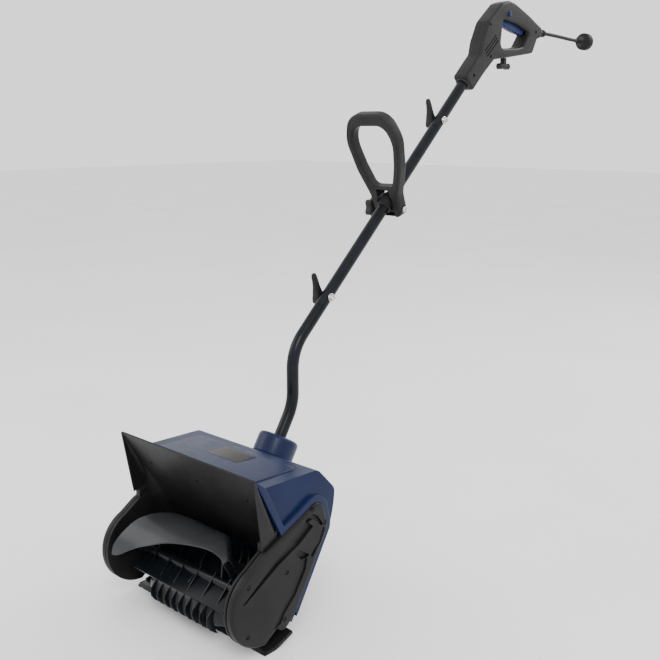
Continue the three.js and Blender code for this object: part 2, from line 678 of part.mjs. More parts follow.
// ---------- rear handle ----------
const handleOutline = outline([
  [714, 904, 6], [752, 940, 20], [764, 950, 14], [769, 974, 20], [790, 1016, 30], [840, 1056, 24],
  [868, 1063, 20], [892, 1059, 20], [945, 1041, 40], [988, 1023, 20], [1003, 1018, 8], [1000, 997, 8],
  [984, 993, 9], [967, 962, 9], [862, 947, 20], [818, 942, 20], [779, 911, 20], [741, 876, 6],
]);
const handleLoop = outline([
  [845, 1024, 6], [838, 965, 12], [906, 970, 10], [926, 974, 8], [951, 1004, 6], [900, 1018, 30],
]);
const TRIGGER_PIN = [944, 1017];
const TRIGGER_ROOM = [[856, 1038], [851, 1014], [900, 1004], [951, 998], [954, 1020], [900, 1036]];
const LOCK_BUTTON = [866, 1036];

function handleShell(side) {
  const [x0, x1] = onSide(side, GAP / 2, GRIP_HALF);
  const solid = slab(handleOutline, x0, x1, [handleLoop]);
  const inside = slab(
    grown(handleOutline, -WALL), ...onSide(side, -1, GRIP_HALF - WALL), [grown(handleLoop, WALL)],
  );
  const shaftEnd = barAlong([onShaft(500), onShaft(SHAFT_LENGTH + 150)], TUBE_RADIUS + GAP, 20);
  const cordHoleProfile = [[0, -20], [9, -20], [9, -4.2], [6.4, -4.2], [6.4, 10], [0, 10]];
  const cordHole = turned(cordHoleProfile, CORD_EXIT, 0, 16);
  return cut(
    solid,
    inside,
    shaftEnd,
    cordHole,
    slab(plane(TRIGGER_ROOM), -6.6, 6.6),
    rod(1.8, ...onSide(side, -1, GRIP_HALF - 1.5), TRIGGER_PIN, 12),
    ...(side > 0 ? [rod(5.4, 8, 20, LOCK_BUTTON, 20)] : []),
  );
}

function trigger() {
  const profile = outline([
    [859, 1034], [856, 1015, 4], [870, 1010, 8], [900, 1003, 30], [937, 998, 8], [944, 1006, 6],
    [949, 1020, 5], [938, 1022, 5], [900, 1028, 20],
  ]);
  return cut(slab(profile, -6, 6), rod(2.1, -10, 10, TRIGGER_PIN, 12));
}

const triggerPin = () => rod(1.7, -GRIP_HALF + 2, GRIP_HALF - 2, TRIGGER_PIN, 12);
// The button's collar keeps clear of the trigger at the end of its press.
const lockButton = () => join(
  rod(5, 9.4, GRIP_HALF + 4, LOCK_BUTTON, 20),
  rod(6.4, 9.4, 11.4, LOCK_BUTTON, 20),
);
const switchBlock = () => box(-7, 7, 880, 912, 1038, 1047);

// Coil spring between the switch block and the trigger, drawn as a sleeve.
const triggerSpring = () => (
  turned([[2, 0], [3.2, 0], [3.2, 5.6], [2, 5.6], [2, 0]], [886, 1032.1], Math.PI / 2, 14)
);

// T-shaped hook under the handle that takes a loop of the extension cord.
function cordHook() {
  return join(
    box(-5, 5, 870, 881, 929, 947),
    rod(6.5, -6, 6, [862, 931], 16),
    rod(6.5, -6, 6, [889, 931], 16),
    box(-6, 6, 862, 889, 925, 934),
  );
}

// ---------- cord and plug ----------
const PLUG_START = 1190;
// Route of the lead from its strain relief to the plug, in the side plane.
const CORD_ROUTE = [
  [1040, 1009], [1050, 1008.9], [1062, 1008.7], [1074, 1008.3], [1086, 1007.9], [1098, 1007.4],
  [1110, 1006.8], [1122, 1006.2], [1134, 1005.6], [1146, 1005], [1158, 1004.4], [1170, 1004],
  [1178, 1003.8], [1184, 1003.7], [1189.7, 1003.6],
];

function strainRelief() {
  const profile = [
    [0, -14], [8.6, -14], [8.6, -4.5], [6, -4.5], [6, 0.4], [11, 0.4], [11, 7], [7, 9], [6.4, 24],
    [8, 26], [7.6, 34], [5, 36.7], [0, 36.7],
  ];
  return turned(profile, CORD_EXIT, 0, 20);
}

const PLUG_AXIS_Z = CORD_ROUTE.at(-1)[1];
const PLUG_FACE = 47.5; // length of the plug from its neck to its rim
// The plug's contacts: name, centre across, centre up, half width, half height.
const PLUG_CONTACTS = [
  ['plug_blade_left', -6.3, 2, 0.75, 3.1],
  ['plug_blade_right', 6.3, 2, 0.75, 3.1],
  ['plug_ground_pin', 0, -8.5, 2.2, 2.2],
];

function plugContact([, x, z, wide, high], more = 0) {
  const [w, h] = [wide + more, high + more];
  return box(
    x - w, x + w, PLUG_START + 24 - more, PLUG_START + PLUG_FACE - 1.5,
    PLUG_AXIS_Z + z - h, PLUG_AXIS_Z + z + h,
  );
}

// Moulded plug: a neck, a cone and a round shroud that the contacts stand inside.
function plugBody() {
  const profile = [
    [0, 0], [5, 0], [6.6, 4], [6.6, 12], [9, 20], [16, 27], [19, 31], [19.5, 34], [19.5, 46],
    [18.5, PLUG_FACE], [16.2, PLUG_FACE], [16.2, 36], [0, 36],
  ];
  const body = turned(profile, [PLUG_START, PLUG_AXIS_Z], 0, 28);
  return cut(body, ...PLUG_CONTACTS.map((contact) => plugContact(contact, GAP)));
}

// Blank badge let into the housing's top.
function badge() {
  const corners = [[-38, 63, 5], [38, 63, 5], [38, 104, 5], [-38, 104, 5]];
  const shape = new THREE.Shape(outline(corners));
  return new THREE.ExtrudeGeometry(shape, { depth: 2, bevelEnabled: false }).translate(0, 0, 266.9);
}

// ---------- assembly ----------
place('auger_tunnel', chamberWall(), BLACK);
place('snow_deflector', deflector(), BLACK);
place('scraper_bar', scraper(), BLACK);
place('motor_housing', motorHousing(), BLUE);
place('shaft_collar', shaftCollar(), BLUE);
place('badge_plate', badge(), BADGE);
[[-1, 'left'], [1, 'right']].forEach(([side, word]) => {
  place(`cheek_plate_${word}`, cheek(side), BLACK);
  place(side > 0 ? 'belt_cover' : 'left_cover', sideCover(side), BLACK);
  place(`bearing_${word}`, bearing(side), STEEL);
});
COVER_SCREWS.forEach((centre, i) => place(`belt_cover_screw_${i + 1}`, coverScrew(1, centre), STEEL));

place('motor_can', motorCan(), STEEL);
place('motor_end_cap', motorEndCap(), BLACK);
place('motor_rotor', motorRotor(), STEEL);
place('cooling_fan', coolingFan(), BLACK);
place('motor_pulley', pulley(MOTOR_PULLEY, SHAFT_RADIUS - 1, MOTOR_AXIS), STEEL);
place('drive_belt', driveBelt(), BELT_RUBBER);
place('auger_pulley', pulley(AUGER_PULLEY, SHAFT_RADIUS, AUGER_AXIS), BLACK);
place('auger_shaft', augerShaft(), STEEL);
place('auger', auger(), DARK_GREY);

place('lower_tube', tube(lowerTubePath()), TUBE_PAINT);
place('middle_tube', tube([onShaft(0), onShaft(SHAFT_LENGTH - GAP)], [lowerBolt]), TUBE_PAINT);
place('upper_tube', tube([onShaft(SHAFT_LENGTH), onShaft(SHAFT_LENGTH + 148)], [upperBolt]), TUBE_PAINT);
[['lower', LOWER_SEAM, lowerBolt], ['upper', UPPER_SEAM, upperBolt]].forEach(([word, seam, bolt]) => {
  place(`${word}_joint_sleeve`, sleeve(seam), STEEL);
  place(`${word}_joint_bolt`, jointBolt(bolt), STEEL);
  place(`${word}_joint_lever`, jointLever(bolt), BLACK);
});

place('front_handle_clamp', frontClamp(), BLACK);
place('front_handle', frontHandle(), BLACK);
place('front_handle_bolt', frontBolt(), STEEL);
place('front_handle_knob', frontKnob(), BLACK);

place('rear_handle_left_shell', handleShell(-1), BLACK);
place('rear_handle_right_shell', handleShell(1), BLACK);
place('trigger', trigger(), TRIGGER_BLUE);
place('trigger_pin', triggerPin(), STEEL);
place('trigger_spring', triggerSpring(), STEEL);
place('lock_button', lockButton(), TRIGGER_BLUE);
place('switch_block', switchBlock(), BLACK);
place('cord_hook', cordHook(), BLACK);

place('strain_relief', strainRelief(), BLACK);
place('power_cord', barAlong(CORD_ROUTE, CORD_RADIUS, 8), BLACK);
place('plug_body', plugBody(), BLACK);
PLUG_CONTACTS.forEach((contact) => place(contact[0], plugContact(contact), BRASS));

export default shovel;
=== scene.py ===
"""Looks for the electric snow shovel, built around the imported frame.

Sizes are written in millimetres in the shovel's side plane, as the design is: Y runs back from the
scraper's front lip, Z up from the ground and X across, and at() turns them into the frame's metres.
"""

import json
import math

import bmesh
import bpy
from mathutils import Matrix, Vector


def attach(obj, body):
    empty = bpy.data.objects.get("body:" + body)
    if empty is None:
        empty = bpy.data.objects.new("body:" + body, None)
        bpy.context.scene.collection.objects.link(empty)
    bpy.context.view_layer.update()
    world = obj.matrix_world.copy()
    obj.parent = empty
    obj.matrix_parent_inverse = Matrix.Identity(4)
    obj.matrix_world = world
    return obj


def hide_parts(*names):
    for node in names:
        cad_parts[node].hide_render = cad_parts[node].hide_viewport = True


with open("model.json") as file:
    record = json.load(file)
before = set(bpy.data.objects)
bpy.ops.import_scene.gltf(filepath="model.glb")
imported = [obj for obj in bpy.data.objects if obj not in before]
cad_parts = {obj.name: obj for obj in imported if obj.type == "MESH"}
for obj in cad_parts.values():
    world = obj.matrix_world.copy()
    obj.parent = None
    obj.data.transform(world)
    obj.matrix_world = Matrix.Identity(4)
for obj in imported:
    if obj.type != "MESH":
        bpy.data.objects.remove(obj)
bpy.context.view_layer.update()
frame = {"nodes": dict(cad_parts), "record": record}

# ---------- driving sizes, in millimetres ----------
LIP_TO_ORIGIN = 12  # the frame's origin lies this far behind the scraper's front lip
HALF_HEAD = 170
HALF_BODY = 166
HALF_CHAMBER = 150
CHEEK_INNER = 155
AUGER_AXIS = (0, 90)
AUGER_RADIUS = 73
HALF_AUGER = 144
HUB_RADIUS = 10
SHAFT_RADIUS = 6
MOTOR_AXIS = (112, 192)
CHAMBER_RADIUS = 77
LOBE_RADIUS = 68.5
VISOR_LIP = (-17, 294)
FACE_FOOT = (68.5, 124.8)
COLLAR_FOOT = (179.2, 240.1)
TUBE_KNEE = (232, 324)
TUBE_BEND = (232, 422)
LOWER_SEAM = (302.7, 489)
UPPER_SEAM = (633, 801.2)
TUBE_RADIUS = 11
JOINT_BOLT = 24
D_PIVOT = (499.8, 653)
D_LEAN = math.radians(21)
TUBE_BORE = 9.5
SLIP = 0.35  # clearance round a tube
GRIP_HALF = 17
BEHIND_WALL = 3.3  # from the chamber wall's front to the housing behind it
CORD_RADIUS = 4
PLUG_START = 1190

COLLAR_TILT = math.atan2(TUBE_KNEE[1] - COLLAR_FOOT[1], TUBE_KNEE[0] - COLLAR_FOOT[0])
SHAFT = Vector((UPPER_SEAM[0] - LOWER_SEAM[0], UPPER_SEAM[1] - LOWER_SEAM[1]))
SHAFT_LENGTH = SHAFT.length
SHAFT = SHAFT.normalized()


def at(x, y, z):
    """A point of the design, in millimetres, as a point of the frame, in metres."""
    return Vector((x, y - LIP_TO_ORIGIN, z)) / 1000


def on_shaft(s, n=0.0):
    """A point (y, z) of the straight shaft: s along it from the lower seam, n above it."""
    return (
        LOWER_SEAM[0] + SHAFT.x * s - SHAFT.y * n,
        LOWER_SEAM[1] + SHAFT.y * s + SHAFT.x * n,
    )


# ---------- materials ----------
def principled(name, base, roughness, metallic=0.0, coat=0.0, specular=0.5):
    material = bpy.data.materials.new(name)
    material.use_nodes = True
    shader = material.node_tree.nodes["Principled BSDF"]
    shader.inputs["Base Color"].default_value = (*base, 1)
    shader.inputs["Roughness"].default_value = roughness
    shader.inputs["Metallic"].default_value = metallic
    shader.inputs["Coat Weight"].default_value = coat
    shader.inputs["Coat Roughness"].default_value = 0.12
    shader.inputs["Specular IOR Level"].default_value = specular
    return material, shader


def noise(tree, scale, detail=3.0, stretch=(1, 1, 1)):
    """Noise over the object's own coordinates, which are metres of the frame."""
    place = tree.nodes.new("ShaderNodeTexCoord")
    mapping = tree.nodes.new("ShaderNodeMapping")
    mapping.inputs["Scale"].default_value = stretch
    texture = tree.nodes.new("ShaderNodeTexNoise")
    texture.inputs["Scale"].default_value = scale
    texture.inputs["Detail"].default_value = detail
    tree.links.new(place.outputs["Object"], mapping.inputs["Vector"])
    tree.links.new(mapping.outputs["Vector"], texture.inputs["Vector"])
    return texture.outputs["Fac"]


def ramp(tree, factor, dark, light, low=0.35, high=0.65):
    node = tree.nodes.new("ShaderNodeValToRGB")
    node.color_ramp.elements[0].position = low
    node.color_ramp.elements[0].color = (*dark, 1)
    node.color_ramp.elements[1].position = high
    node.color_ramp.elements[1].color = (*light, 1)
    tree.links.new(factor, node.inputs["Fac"])
    return node.outputs["Color"]


def spread(tree, factor, low, high):
    node = tree.nodes.new("ShaderNodeMapRange")
    node.inputs["To Min"].default_value = low
    node.inputs["To Max"].default_value = high
    tree.links.new(factor, node.inputs["Value"])
    return node.outputs["Result"]


def bump(tree, shader, height, strength, distance):
    node = tree.nodes.new("ShaderNodeBump")
    node.inputs["Strength"].default_value = strength
    node.inputs["Distance"].default_value = distance
    tree.links.new(height, node.inputs["Height"])
    tree.links.new(node.outputs["Normal"], shader.inputs["Normal"])


def moulded(name, base, roughness, grain=0.00006, coat=0.0, vary=0.25, specular=0.16):
    """Moulded plastic: fine spark-eroded grain, slow colour drift and uneven gloss."""
    material, shader = principled(name, base, roughness, coat=coat, specular=specular)
    tree = material.node_tree
    dark = [c * (1 - vary) for c in base]
    light = [c * (1 + vary) for c in base]
    tree.links.new(ramp(tree, noise(tree, 14, 5), dark, light), shader.inputs["Base Color"])
    tree.links.new(
        spread(tree, noise(tree, 55, 4), roughness - 0.07, roughness + 0.09),
        shader.inputs["Roughness"],
    )
    bump(tree, shader, noise(tree, 1600, 2), 0.35, grain)
    return material


def painted_tube():
    """Gloss paint over steel tube, with faint orange peel and a few duller streaks."""
    base = (0.004, 0.005, 0.008)
    material, shader = principled("tube_paint", base, 0.3, coat=0.1, specular=0.12)
    tree = material.node_tree
    tree.links.new(
        ramp(tree, noise(tree, 30, 4), (0.0025, 0.0035, 0.0055), (0.005, 0.007, 0.010)),
        shader.inputs["Base Color"],
    )
    tree.links.new(spread(tree, noise(tree, 90, 4), 0.22, 0.36), shader.inputs["Roughness"])
    bump(tree, shader, noise(tree, 420, 2), 0.15, 0.00005)
    return material


def plated_steel(name="bright_steel", base=(0.62, 0.62, 0.63), roughness=0.24):
    """Zinc plate with fine turning marks."""
    material, shader = principled(name, base, roughness, metallic=1.0)
    tree = material.node_tree
    dark = [c * 0.8 for c in base]
    tree.links.new(ramp(tree, noise(tree, 60, 4), dark, base), shader.inputs["Base Color"])
    tree.links.new(
        spread(tree, noise(tree, 260, 3, (0.15, 1, 1)), roughness - 0.08, roughness + 0.14),
        shader.inputs["Roughness"],
    )
    bump(tree, shader, noise(tree, 900, 2, (0.1, 1, 1)), 0.2, 0.00004)
    return material


BLACK = moulded("black_plastic", (0.0085, 0.0085, 0.009), 0.42)
HANDLE_BLACK = moulded("handle_plastic", (0.013, 0.013, 0.013), 0.46, grain=0.0001)
NAVY = moulded("navy_plastic", (0.0048, 0.0105, 0.042), 0.36, grain=0.00003, coat=0.04, vary=0.12)
AUGER_GREY = moulded("auger_plastic", (0.024, 0.025, 0.027), 0.34, grain=0.00003, coat=0.06, vary=0.15)
# The auger is one grey plastic; this darker copy of it is painted shade, laid on its hub, spine and ribs for
# the shade that falls between them.
AUGER_RIBS_PAINTED_SHADE = moulded("auger_ribs_painted_shade", (0.0045, 0.0058, 0.0075), 0.3, grain=0.00003, coat=0.06, vary=0.2)
CONTROL_BLUE = moulded("control_blue", (0.010, 0.021, 0.080), 0.38, grain=0.00005, vary=0.15)
RUBBER = moulded("cord_rubber", (0.008, 0.008, 0.008), 0.55, grain=0.00012)
BADGE = moulded("badge_plastic", (0.007, 0.0022, 0.0017), 0.3, grain=0.00001, coat=0.05)
BLACK_STEEL = moulded("black_steel", (0.003, 0.003, 0.003), 0.5)
TUBE_PAINT = painted_tube()
STEEL = plated_steel()
BRASS = plated_steel("contact_brass", (0.55, 0.4, 0.17), 0.3)


# ---------- camera, light and stage ----------
def camera():
    data = bpy.data.cameras.new("camera")
    data.lens = 50
    data.sensor_width = 36
    camera_object = bpy.data.objects.new("camera", data)
    bpy.context.scene.collection.objects.link(camera_object)
    camera_object.location = at(1110.92, -872.91, 807.03)
    azimuth = math.radians(42.74)
    elevation = math.radians(12.56)
    look = Vector((
        -math.sin(azimuth) * math.cos(elevation),
        math.cos(azimuth) * math.cos(elevation),
        -math.sin(elevation),
    ))
    camera_object.rotation_euler = look.to_track_quat("-Z", "Y").to_euler()
    bpy.context.scene.camera = camera_object


def area_light(name, place, target, size, power):
    data = bpy.data.lights.new(name, "AREA")
    data.shape = "DISK"
    data.size = size
    data.energy = power
    light = bpy.data.objects.new(name, data)
    bpy.context.scene.collection.objects.link(light)
    light.location = place
    aim = Vector(target) - Vector(place)
    light.rotation_euler = aim.to_track_quat("-Z", "Y").to_euler()


def stage():
    bpy.ops.mesh.primitive_plane_add(size=30)
    floor = bpy.context.object
    floor.name = "floor"
    material, shader = principled("floor", (0.86, 0.86, 0.86), 0.85, specular=0.2)
    tree = material.node_tree
    tree.links.new(
        ramp(tree, noise(tree, 2, 2), (0.85, 0.85, 0.85), (0.88, 0.88, 0.88)),
        shader.inputs["Base Color"],
    )
    floor.data.materials.append(material)
    world = bpy.data.worlds.new("world")
    bpy.context.scene.world = world
    world.use_nodes = True
    background = world.node_tree.nodes["Background"]
    background.inputs["Color"].default_value = (1, 1, 1, 1)
    background.inputs["Strength"].default_value = 1.5
    head = at(0, 150, 200)
    area_light("key", (2.0, -1.6, 2.6), head, 1.6, 60)
    area_light("fill", (-2.2, -1.4, 1.8), head, 1.8, 25)
    area_light("rim", (0.8, 3.0, 2.4), at(0, 500, 700), 1.4, 45)


camera()

# ---------- mesh tools ----------
def thing(name, mesh, material, slot, *nodes, body="root"):
    """Links a mesh as a piece that rides on a body and takes the place of the named nodes."""
    piece = bpy.data.objects.new(name, mesh)
    bpy.context.scene.collection.objects.link(piece)
    piece.data.materials.clear()
    piece.data.materials.append(material)
    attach(piece, body)
    if nodes:
        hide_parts(*nodes)
    return piece


def smooth(mesh, degrees=32):
    """Smooth shading, with creases where faces meet at more than an angle."""
    mesh.polygons.foreach_set("use_smooth", [True] * len(mesh.polygons))
    mesh.set_sharp_from_angle(angle=math.radians(degrees))
    mesh.update()


def fillet(corners, step=9.0):
    """A closed outline from corners (a, b) or (a, b, radius), each radius drawn as an arc."""
    points = []
    count = len(corners)
    for i, corner in enumerate(corners):
        here = Vector(corner[:2])
        radius = corner[2] if len(corner) > 2 else 0
        if not radius:
            points.append(here)
            continue
        before = Vector(corners[i - 1][:2]) - here
        after = Vector(corners[(i + 1) % count][:2]) - here
        between = before.angle(after)
        reach = radius / math.tan(between / 2)
        limit = 0.49 * min(before.length, after.length)
        if reach > limit:
            radius *= limit / reach
            reach = limit
        middle = (before.normalized() + after.normalized()).normalized()
        centre = here + middle * (radius / math.sin(between / 2))
        start = here + before.normalized() * reach - centre
        end = here + after.normalized() * reach - centre
        turn = start.angle_signed(end)
        steps = max(2, math.ceil(abs(math.degrees(turn)) / step))
        for k in range(steps + 1):
            arm = start.copy()
            arm.rotate(Matrix.Rotation(-turn * k / steps, 2))
            points.append(centre + arm)
    return points


def arc(centre, radius, start, end, steps):
    """Points of an arc, from one angle to another, in degrees."""
    return [
        Vector((
            centre[0] + radius * math.cos(math.radians(start + (end - start) * i / steps)),
            centre[1] + radius * math.sin(math.radians(start + (end - start) * i / steps)),
        ))
        for i in range(steps + 1)
    ]


def plane(corners):
    """Corners (y, z) as points of the side plane."""
    return [Vector(corner) for corner in corners]


def grown(points, distance):
    """Moves a closed outline outwards by a distance, or inwards where it is negative."""
    count = len(points)
    area = sum(points[i - 1].x * points[i].y - points[i].x * points[i - 1].y for i in range(count))
    side = 1 if area > 0 else -1
    moved = []
    for i, point in enumerate(points):
        along = (points[(i + 1) % count] - points[i - 1]).normalized()
        moved.append(point + Vector((along.y, -along.x)) * distance * side)
    return moved


def tidy_faces(mesh, weld=0.0, flip=False):
    """Makes a mesh's faces agree; weld joins close corners, and flip turns an inside-out solid."""
    work = bmesh.new()
    work.from_mesh(mesh)
    if weld:
        bmesh.ops.remove_doubles(work, verts=work.verts, dist=weld)
    bmesh.ops.recalc_face_normals(work, faces=work.faces)
    if flip and work.calc_volume(signed=True) < 0:
        bmesh.ops.reverse_faces(work, faces=work.faces)
    work.to_mesh(mesh)
    work.free()


def outline_mesh(name, outline, depth, holes=(), bevel=0.0, rounds=3):
    """A plate of an outline in its own XY plane, depth thick about Z = 0, with rounded edges. Millimetres."""
    curve = bpy.data.curves.new(name, "CURVE")
    curve.dimensions = "2D"
    curve.fill_mode = "BOTH"
    curve.extrude = depth / 2 - bevel
    curve.bevel_depth = bevel
    curve.bevel_resolution = rounds
    curve.offset = -bevel
    for loop in (outline, *holes):
        spline = curve.splines.new("POLY")
        spline.points.add(len(loop) - 1)
        for point, place in zip(spline.points, loop):
            point.co = (place[0], place[1], 0, 1)
        spline.use_cyclic_u = True
    holder = bpy.data.objects.new(name, curve)
    bpy.context.scene.collection.objects.link(holder)
    graph = bpy.context.evaluated_depsgraph_get()
    mesh = bpy.data.meshes.new_from_object(holder.evaluated_get(graph))
    bpy.data.objects.remove(holder)
    bpy.data.curves.remove(curve)
    tidy_faces(mesh, weld=0.001)
    mesh.name = name
    return mesh


SIDE_PLANE = Matrix(((0, 0, 1, 0), (1, 0, 0, 0), (0, 1, 0, 0), (0, 0, 0, 1)))
TO_FRAME = Matrix.Scale(0.001, 4) @ Matrix.Translation((0, -LIP_TO_ORIGIN, 0))


def side_mesh(name, outline, x0, x1, holes=(), bevel=0.0, rounds=3):
    """A plate of a side-plane outline, from x0 to x1."""
    mesh = outline_mesh(name, outline, abs(x1 - x0), holes, bevel, rounds)
    mesh.transform(TO_FRAME @ Matrix.Translation(((x0 + x1) / 2, 0, 0)) @ SIDE_PLANE)
    smooth(mesh)
    return mesh


def loft_mesh(name, rings, caps=True, closed=True, cycle=False):
    """A surface through rings of points, all of one length; cycle joins the last ring to the first."""
    count = len(rings[0])
    verts = [tuple(point) for ring in rings for point in ring]
    faces = []
    last = len(rings) if cycle else len(rings) - 1
    across = count if closed else count - 1
    for i in range(last):
        j = (i + 1) % len(rings)
        for k in range(across):
            n = (k + 1) % count
            faces.append((i * count + k, i * count + n, j * count + n, j * count + k))
    if caps and closed and not cycle:
        faces.append(tuple(reversed(range(count))))
        faces.append(tuple(range((len(rings) - 1) * count, len(rings) * count)))
    mesh = bpy.data.meshes.new(name)
    mesh.from_pydata(verts, [], faces)
    tidy_faces(mesh)
    smooth(mesh)
    return mesh


def circle(centre, up, radius, sides):
    """Points round a centre, in the plane of X and up."""
    across = Vector((1, 0, 0))
    return [
        centre
        + (across * math.cos(math.tau * k / sides) + up * math.sin(math.tau * k / sides)) * radius / 1000
        for k in range(sides)
    ]


def turned_mesh(name, profile, foot, tilt, sides=48, x=0.0, cycle=False):
    """A turned piece: profile (radius, height) along an axis that leans by tilt from +Y towards +Z.

    With cycle the profile is closed on itself, which leaves a bore.
    """
    along = Vector((0, math.cos(tilt), math.sin(tilt)))
    up = Vector((0, -math.sin(tilt), math.cos(tilt)))
    rings = [
        circle(at(x, *foot) + along * height / 1000, up, max(radius, 0.01), sides)
        for radius, height in profile
    ]
    return loft_mesh(name, rings, cycle=cycle)


def rod_mesh(name, profile, centre, sides=40, cycle=False):
    """A turned piece along X: profile (radius, x) about a point (y, z) of the side plane."""
    rings = [
        [
            at(x, centre[0] + radius * math.cos(math.tau * k / sides),
               centre[1] + radius * math.sin(math.tau * k / sides))
            for k in range(sides)
        ]
        for radius, x in profile
    ]
    return loft_mesh(name, rings, cycle=cycle)


def join_meshes(name, meshes):
    """One mesh holding several."""
    work = bmesh.new()
    for mesh in meshes:
        work.from_mesh(mesh)
    joined = bpy.data.meshes.new(name)
    work.to_mesh(joined)
    work.free()
    smooth(joined)
    return joined


def carve(mesh, cutters, operation="DIFFERENCE"):
    """The mesh with others cut out of it, or joined to it."""
    for solid in (mesh, *cutters):
        tidy_faces(solid, flip=True)
    holder = bpy.data.objects.new("carved", mesh)
    bpy.context.scene.collection.objects.link(holder)
    tools = []
    for cutter in cutters:
        tool = bpy.data.objects.new("tool", cutter)
        bpy.context.scene.collection.objects.link(tool)
        modifier = holder.modifiers.new("cut", "BOOLEAN")
        modifier.operation = operation
        modifier.solver = "EXACT"
        modifier.object = tool
        tools.append(tool)
    graph = bpy.context.evaluated_depsgraph_get()
    result = bpy.data.meshes.new_from_object(holder.evaluated_get(graph))
    for item in (holder, *tools):
        bpy.data.objects.remove(item)
    result.name = mesh.name
    smooth(result)
    return result


def soften(piece, width, segments=2, degrees=35):
    """Rounds the sharp edges of a piece, in millimetres."""
    modifier = piece.modifiers.new("edges", "BEVEL")
    modifier.width = width / 1000
    modifier.segments = segments
    modifier.limit_method = "ANGLE"
    modifier.angle_limit = math.radians(degrees)
    modifier.use_clamp_overlap = True
    modifier.harden_normals = True


# ---------- cord and what is on it ----------
CORD_ROUTE = [
    (1040, 1009), (1050, 1008.9), (1062, 1008.7), (1074, 1008.3), (1086, 1007.9), (1098, 1007.4),
    (1110, 1006.8), (1122, 1006.2), (1134, 1005.6), (1146, 1005), (1158, 1004.4), (1170, 1004),
    (1178, 1003.8), (1184, 1003.7), (1189.7, 1003.6),
]
CORD_EXIT = (1003, 1009)


def power_cord():
    curve = bpy.data.curves.new("power_cord", "CURVE")
    curve.dimensions = "3D"
    curve.bevel_depth = CORD_RADIUS / 1000
    curve.bevel_resolution = 6
    curve.use_fill_caps = True
    spline = curve.splines.new("POLY")
    spline.points.add(len(CORD_ROUTE) - 1)
    for point, (y, z) in zip(spline.points, CORD_ROUTE):
        point.co = (*at(0, y, z), 1)
    piece = bpy.data.objects.new("lead", curve)
    bpy.context.scene.collection.objects.link(piece)
    curve.materials.append(RUBBER)
    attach(piece, "root")
    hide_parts("power_cord")
    return piece


def strain_relief():
    """Gland ring and a tapered boot with a rounded collar at its end."""
    profile = [
        (0, -6), (6, -6), (6, 0.4), (10.2, 0.5), (11, 1.4), (11, 5.6), (10.2, 6.6), (7.4, 7.4), (6.6, 9),
        (6.2, 14), (6.0, 22), (6.3, 23.4), (7.4, 24.4), (8.0, 26), (8.0, 30.5), (7.3, 33), (6.0, 34.4),
        (5.2, 35.4), (4.6, 36.7), (0, 36.7),
    ]
    return thing(
        "strain_relief_boot", turned_mesh("boot", profile, CORD_EXIT, 0, 36),
        RUBBER, "cord_rubber", "strain_relief",
    )


def plug():
    """Moulded plug: ribbed neck, cone and round shroud."""
    profile = [
        (0, 0), (4.2, 0), (5.2, 1.2), (6.4, 1.8), (6.4, 3.6), (5.0, 4.2), (5.0, 5.6), (6.6, 6.2), (6.6, 8.2),
        (5.2, 8.8), (5.2, 10.2), (7.0, 10.8), (7.2, 13), (8.2, 17), (9.6, 21), (11.4, 25), (14.2, 28),
        (17.4, 29.6), (19.0, 30.6), (19.5, 32), (19.5, 38.4), (18.7, 38.9), (18.7, 39.9), (19.5, 40.4),
        (19.5, 45.4), (19.0, 46.8), (18.2, 47.4), (16.6, 47.4),
        (16.2, 46.8), (16.2, 36.2), (0, 36),
    ]
    foot = (PLUG_START, CORD_ROUTE[-1][1])
    return thing(
        "plug_moulding", turned_mesh("plug", profile, foot, 0, 64),
        RUBBER, "cord_rubber", "plug_body",
    )


def cord_set():
    boot = strain_relief()
    moulding = plug()
    lead = power_cord()


cord_set()

# ---------- head ----------
FACE_ALONG = (Vector(FACE_FOOT) - Vector(VISOR_LIP)).normalized()
FACE_FRONT = Vector((FACE_ALONG.y, -FACE_ALONG.x))
FACE_LENGTH = (Vector(FACE_FOOT) - Vector(VISOR_LIP)).length
TANGENT = math.degrees(math.atan2(FACE_FOOT[1] - AUGER_AXIS[1], FACE_FOOT[0] - AUGER_AXIS[0]))
WING_DOWN = 107.5
WING_WIDE = 35.3
WING_ROWS = [0, 1.5, 5] + [10 + (WING_DOWN - 10) * i / 12 for i in range(13)]
WALL_FLAT = 118  # half the width of the wall's flat middle
END_STEPS = 10
MIDDLE_STEPS = 30


def on_face(down, front=0.0):
    """A point of the deflector's face: down from its lip, and in front of it."""
    return Vector(VISOR_LIP) + FACE_ALONG * down + FACE_FRONT * front


CHEEK = fillet([
    (-28, 152.5), (0, 171, 60), (84, 207, 60), (129, 229, 26), (141, 172, 12), (64, 46, 40), (34, 21.5, 40),
])[1:] + arc(AUGER_AXIS, LOBE_RADIUS, 270, 114, 26)


def throat_row(t):
    """Place and forward direction of a row of the wall: t runs down the face, then round the auger."""
    if t <= FACE_LENGTH:
        return on_face(t), FACE_FRONT
    angle = math.radians(TANGENT) - (t - FACE_LENGTH) / CHAMBER_RADIUS
    out = Vector((math.cos(angle), math.sin(angle)))
    return Vector(AUGER_AXIS) + out * CHAMBER_RADIUS, -out


def wall_end(round_radius):
    """One end of a row of the wall, as (x, rise): flat, then curving forward into the cheek plate."""
    if round_radius < 0.5:
        return [
            (WALL_FLAT + (HALF_CHAMBER - WALL_FLAT) * k / END_STEPS, 0.0) for k in range(END_STEPS + 1)
        ]
    arc_start = HALF_CHAMBER - round_radius
    points = []
    for k in range(END_STEPS + 1):
        share = k / END_STEPS
        if share < 0.3:
            points.append((WALL_FLAT + (arc_start - WALL_FLAT) * share / 0.3, 0.0))
        else:
            angle = math.pi / 2 * (share - 0.3) / 0.7
            points.append((
                arc_start + round_radius * math.sin(angle),
                round_radius * (1 - math.cos(angle)),
            ))
    return points


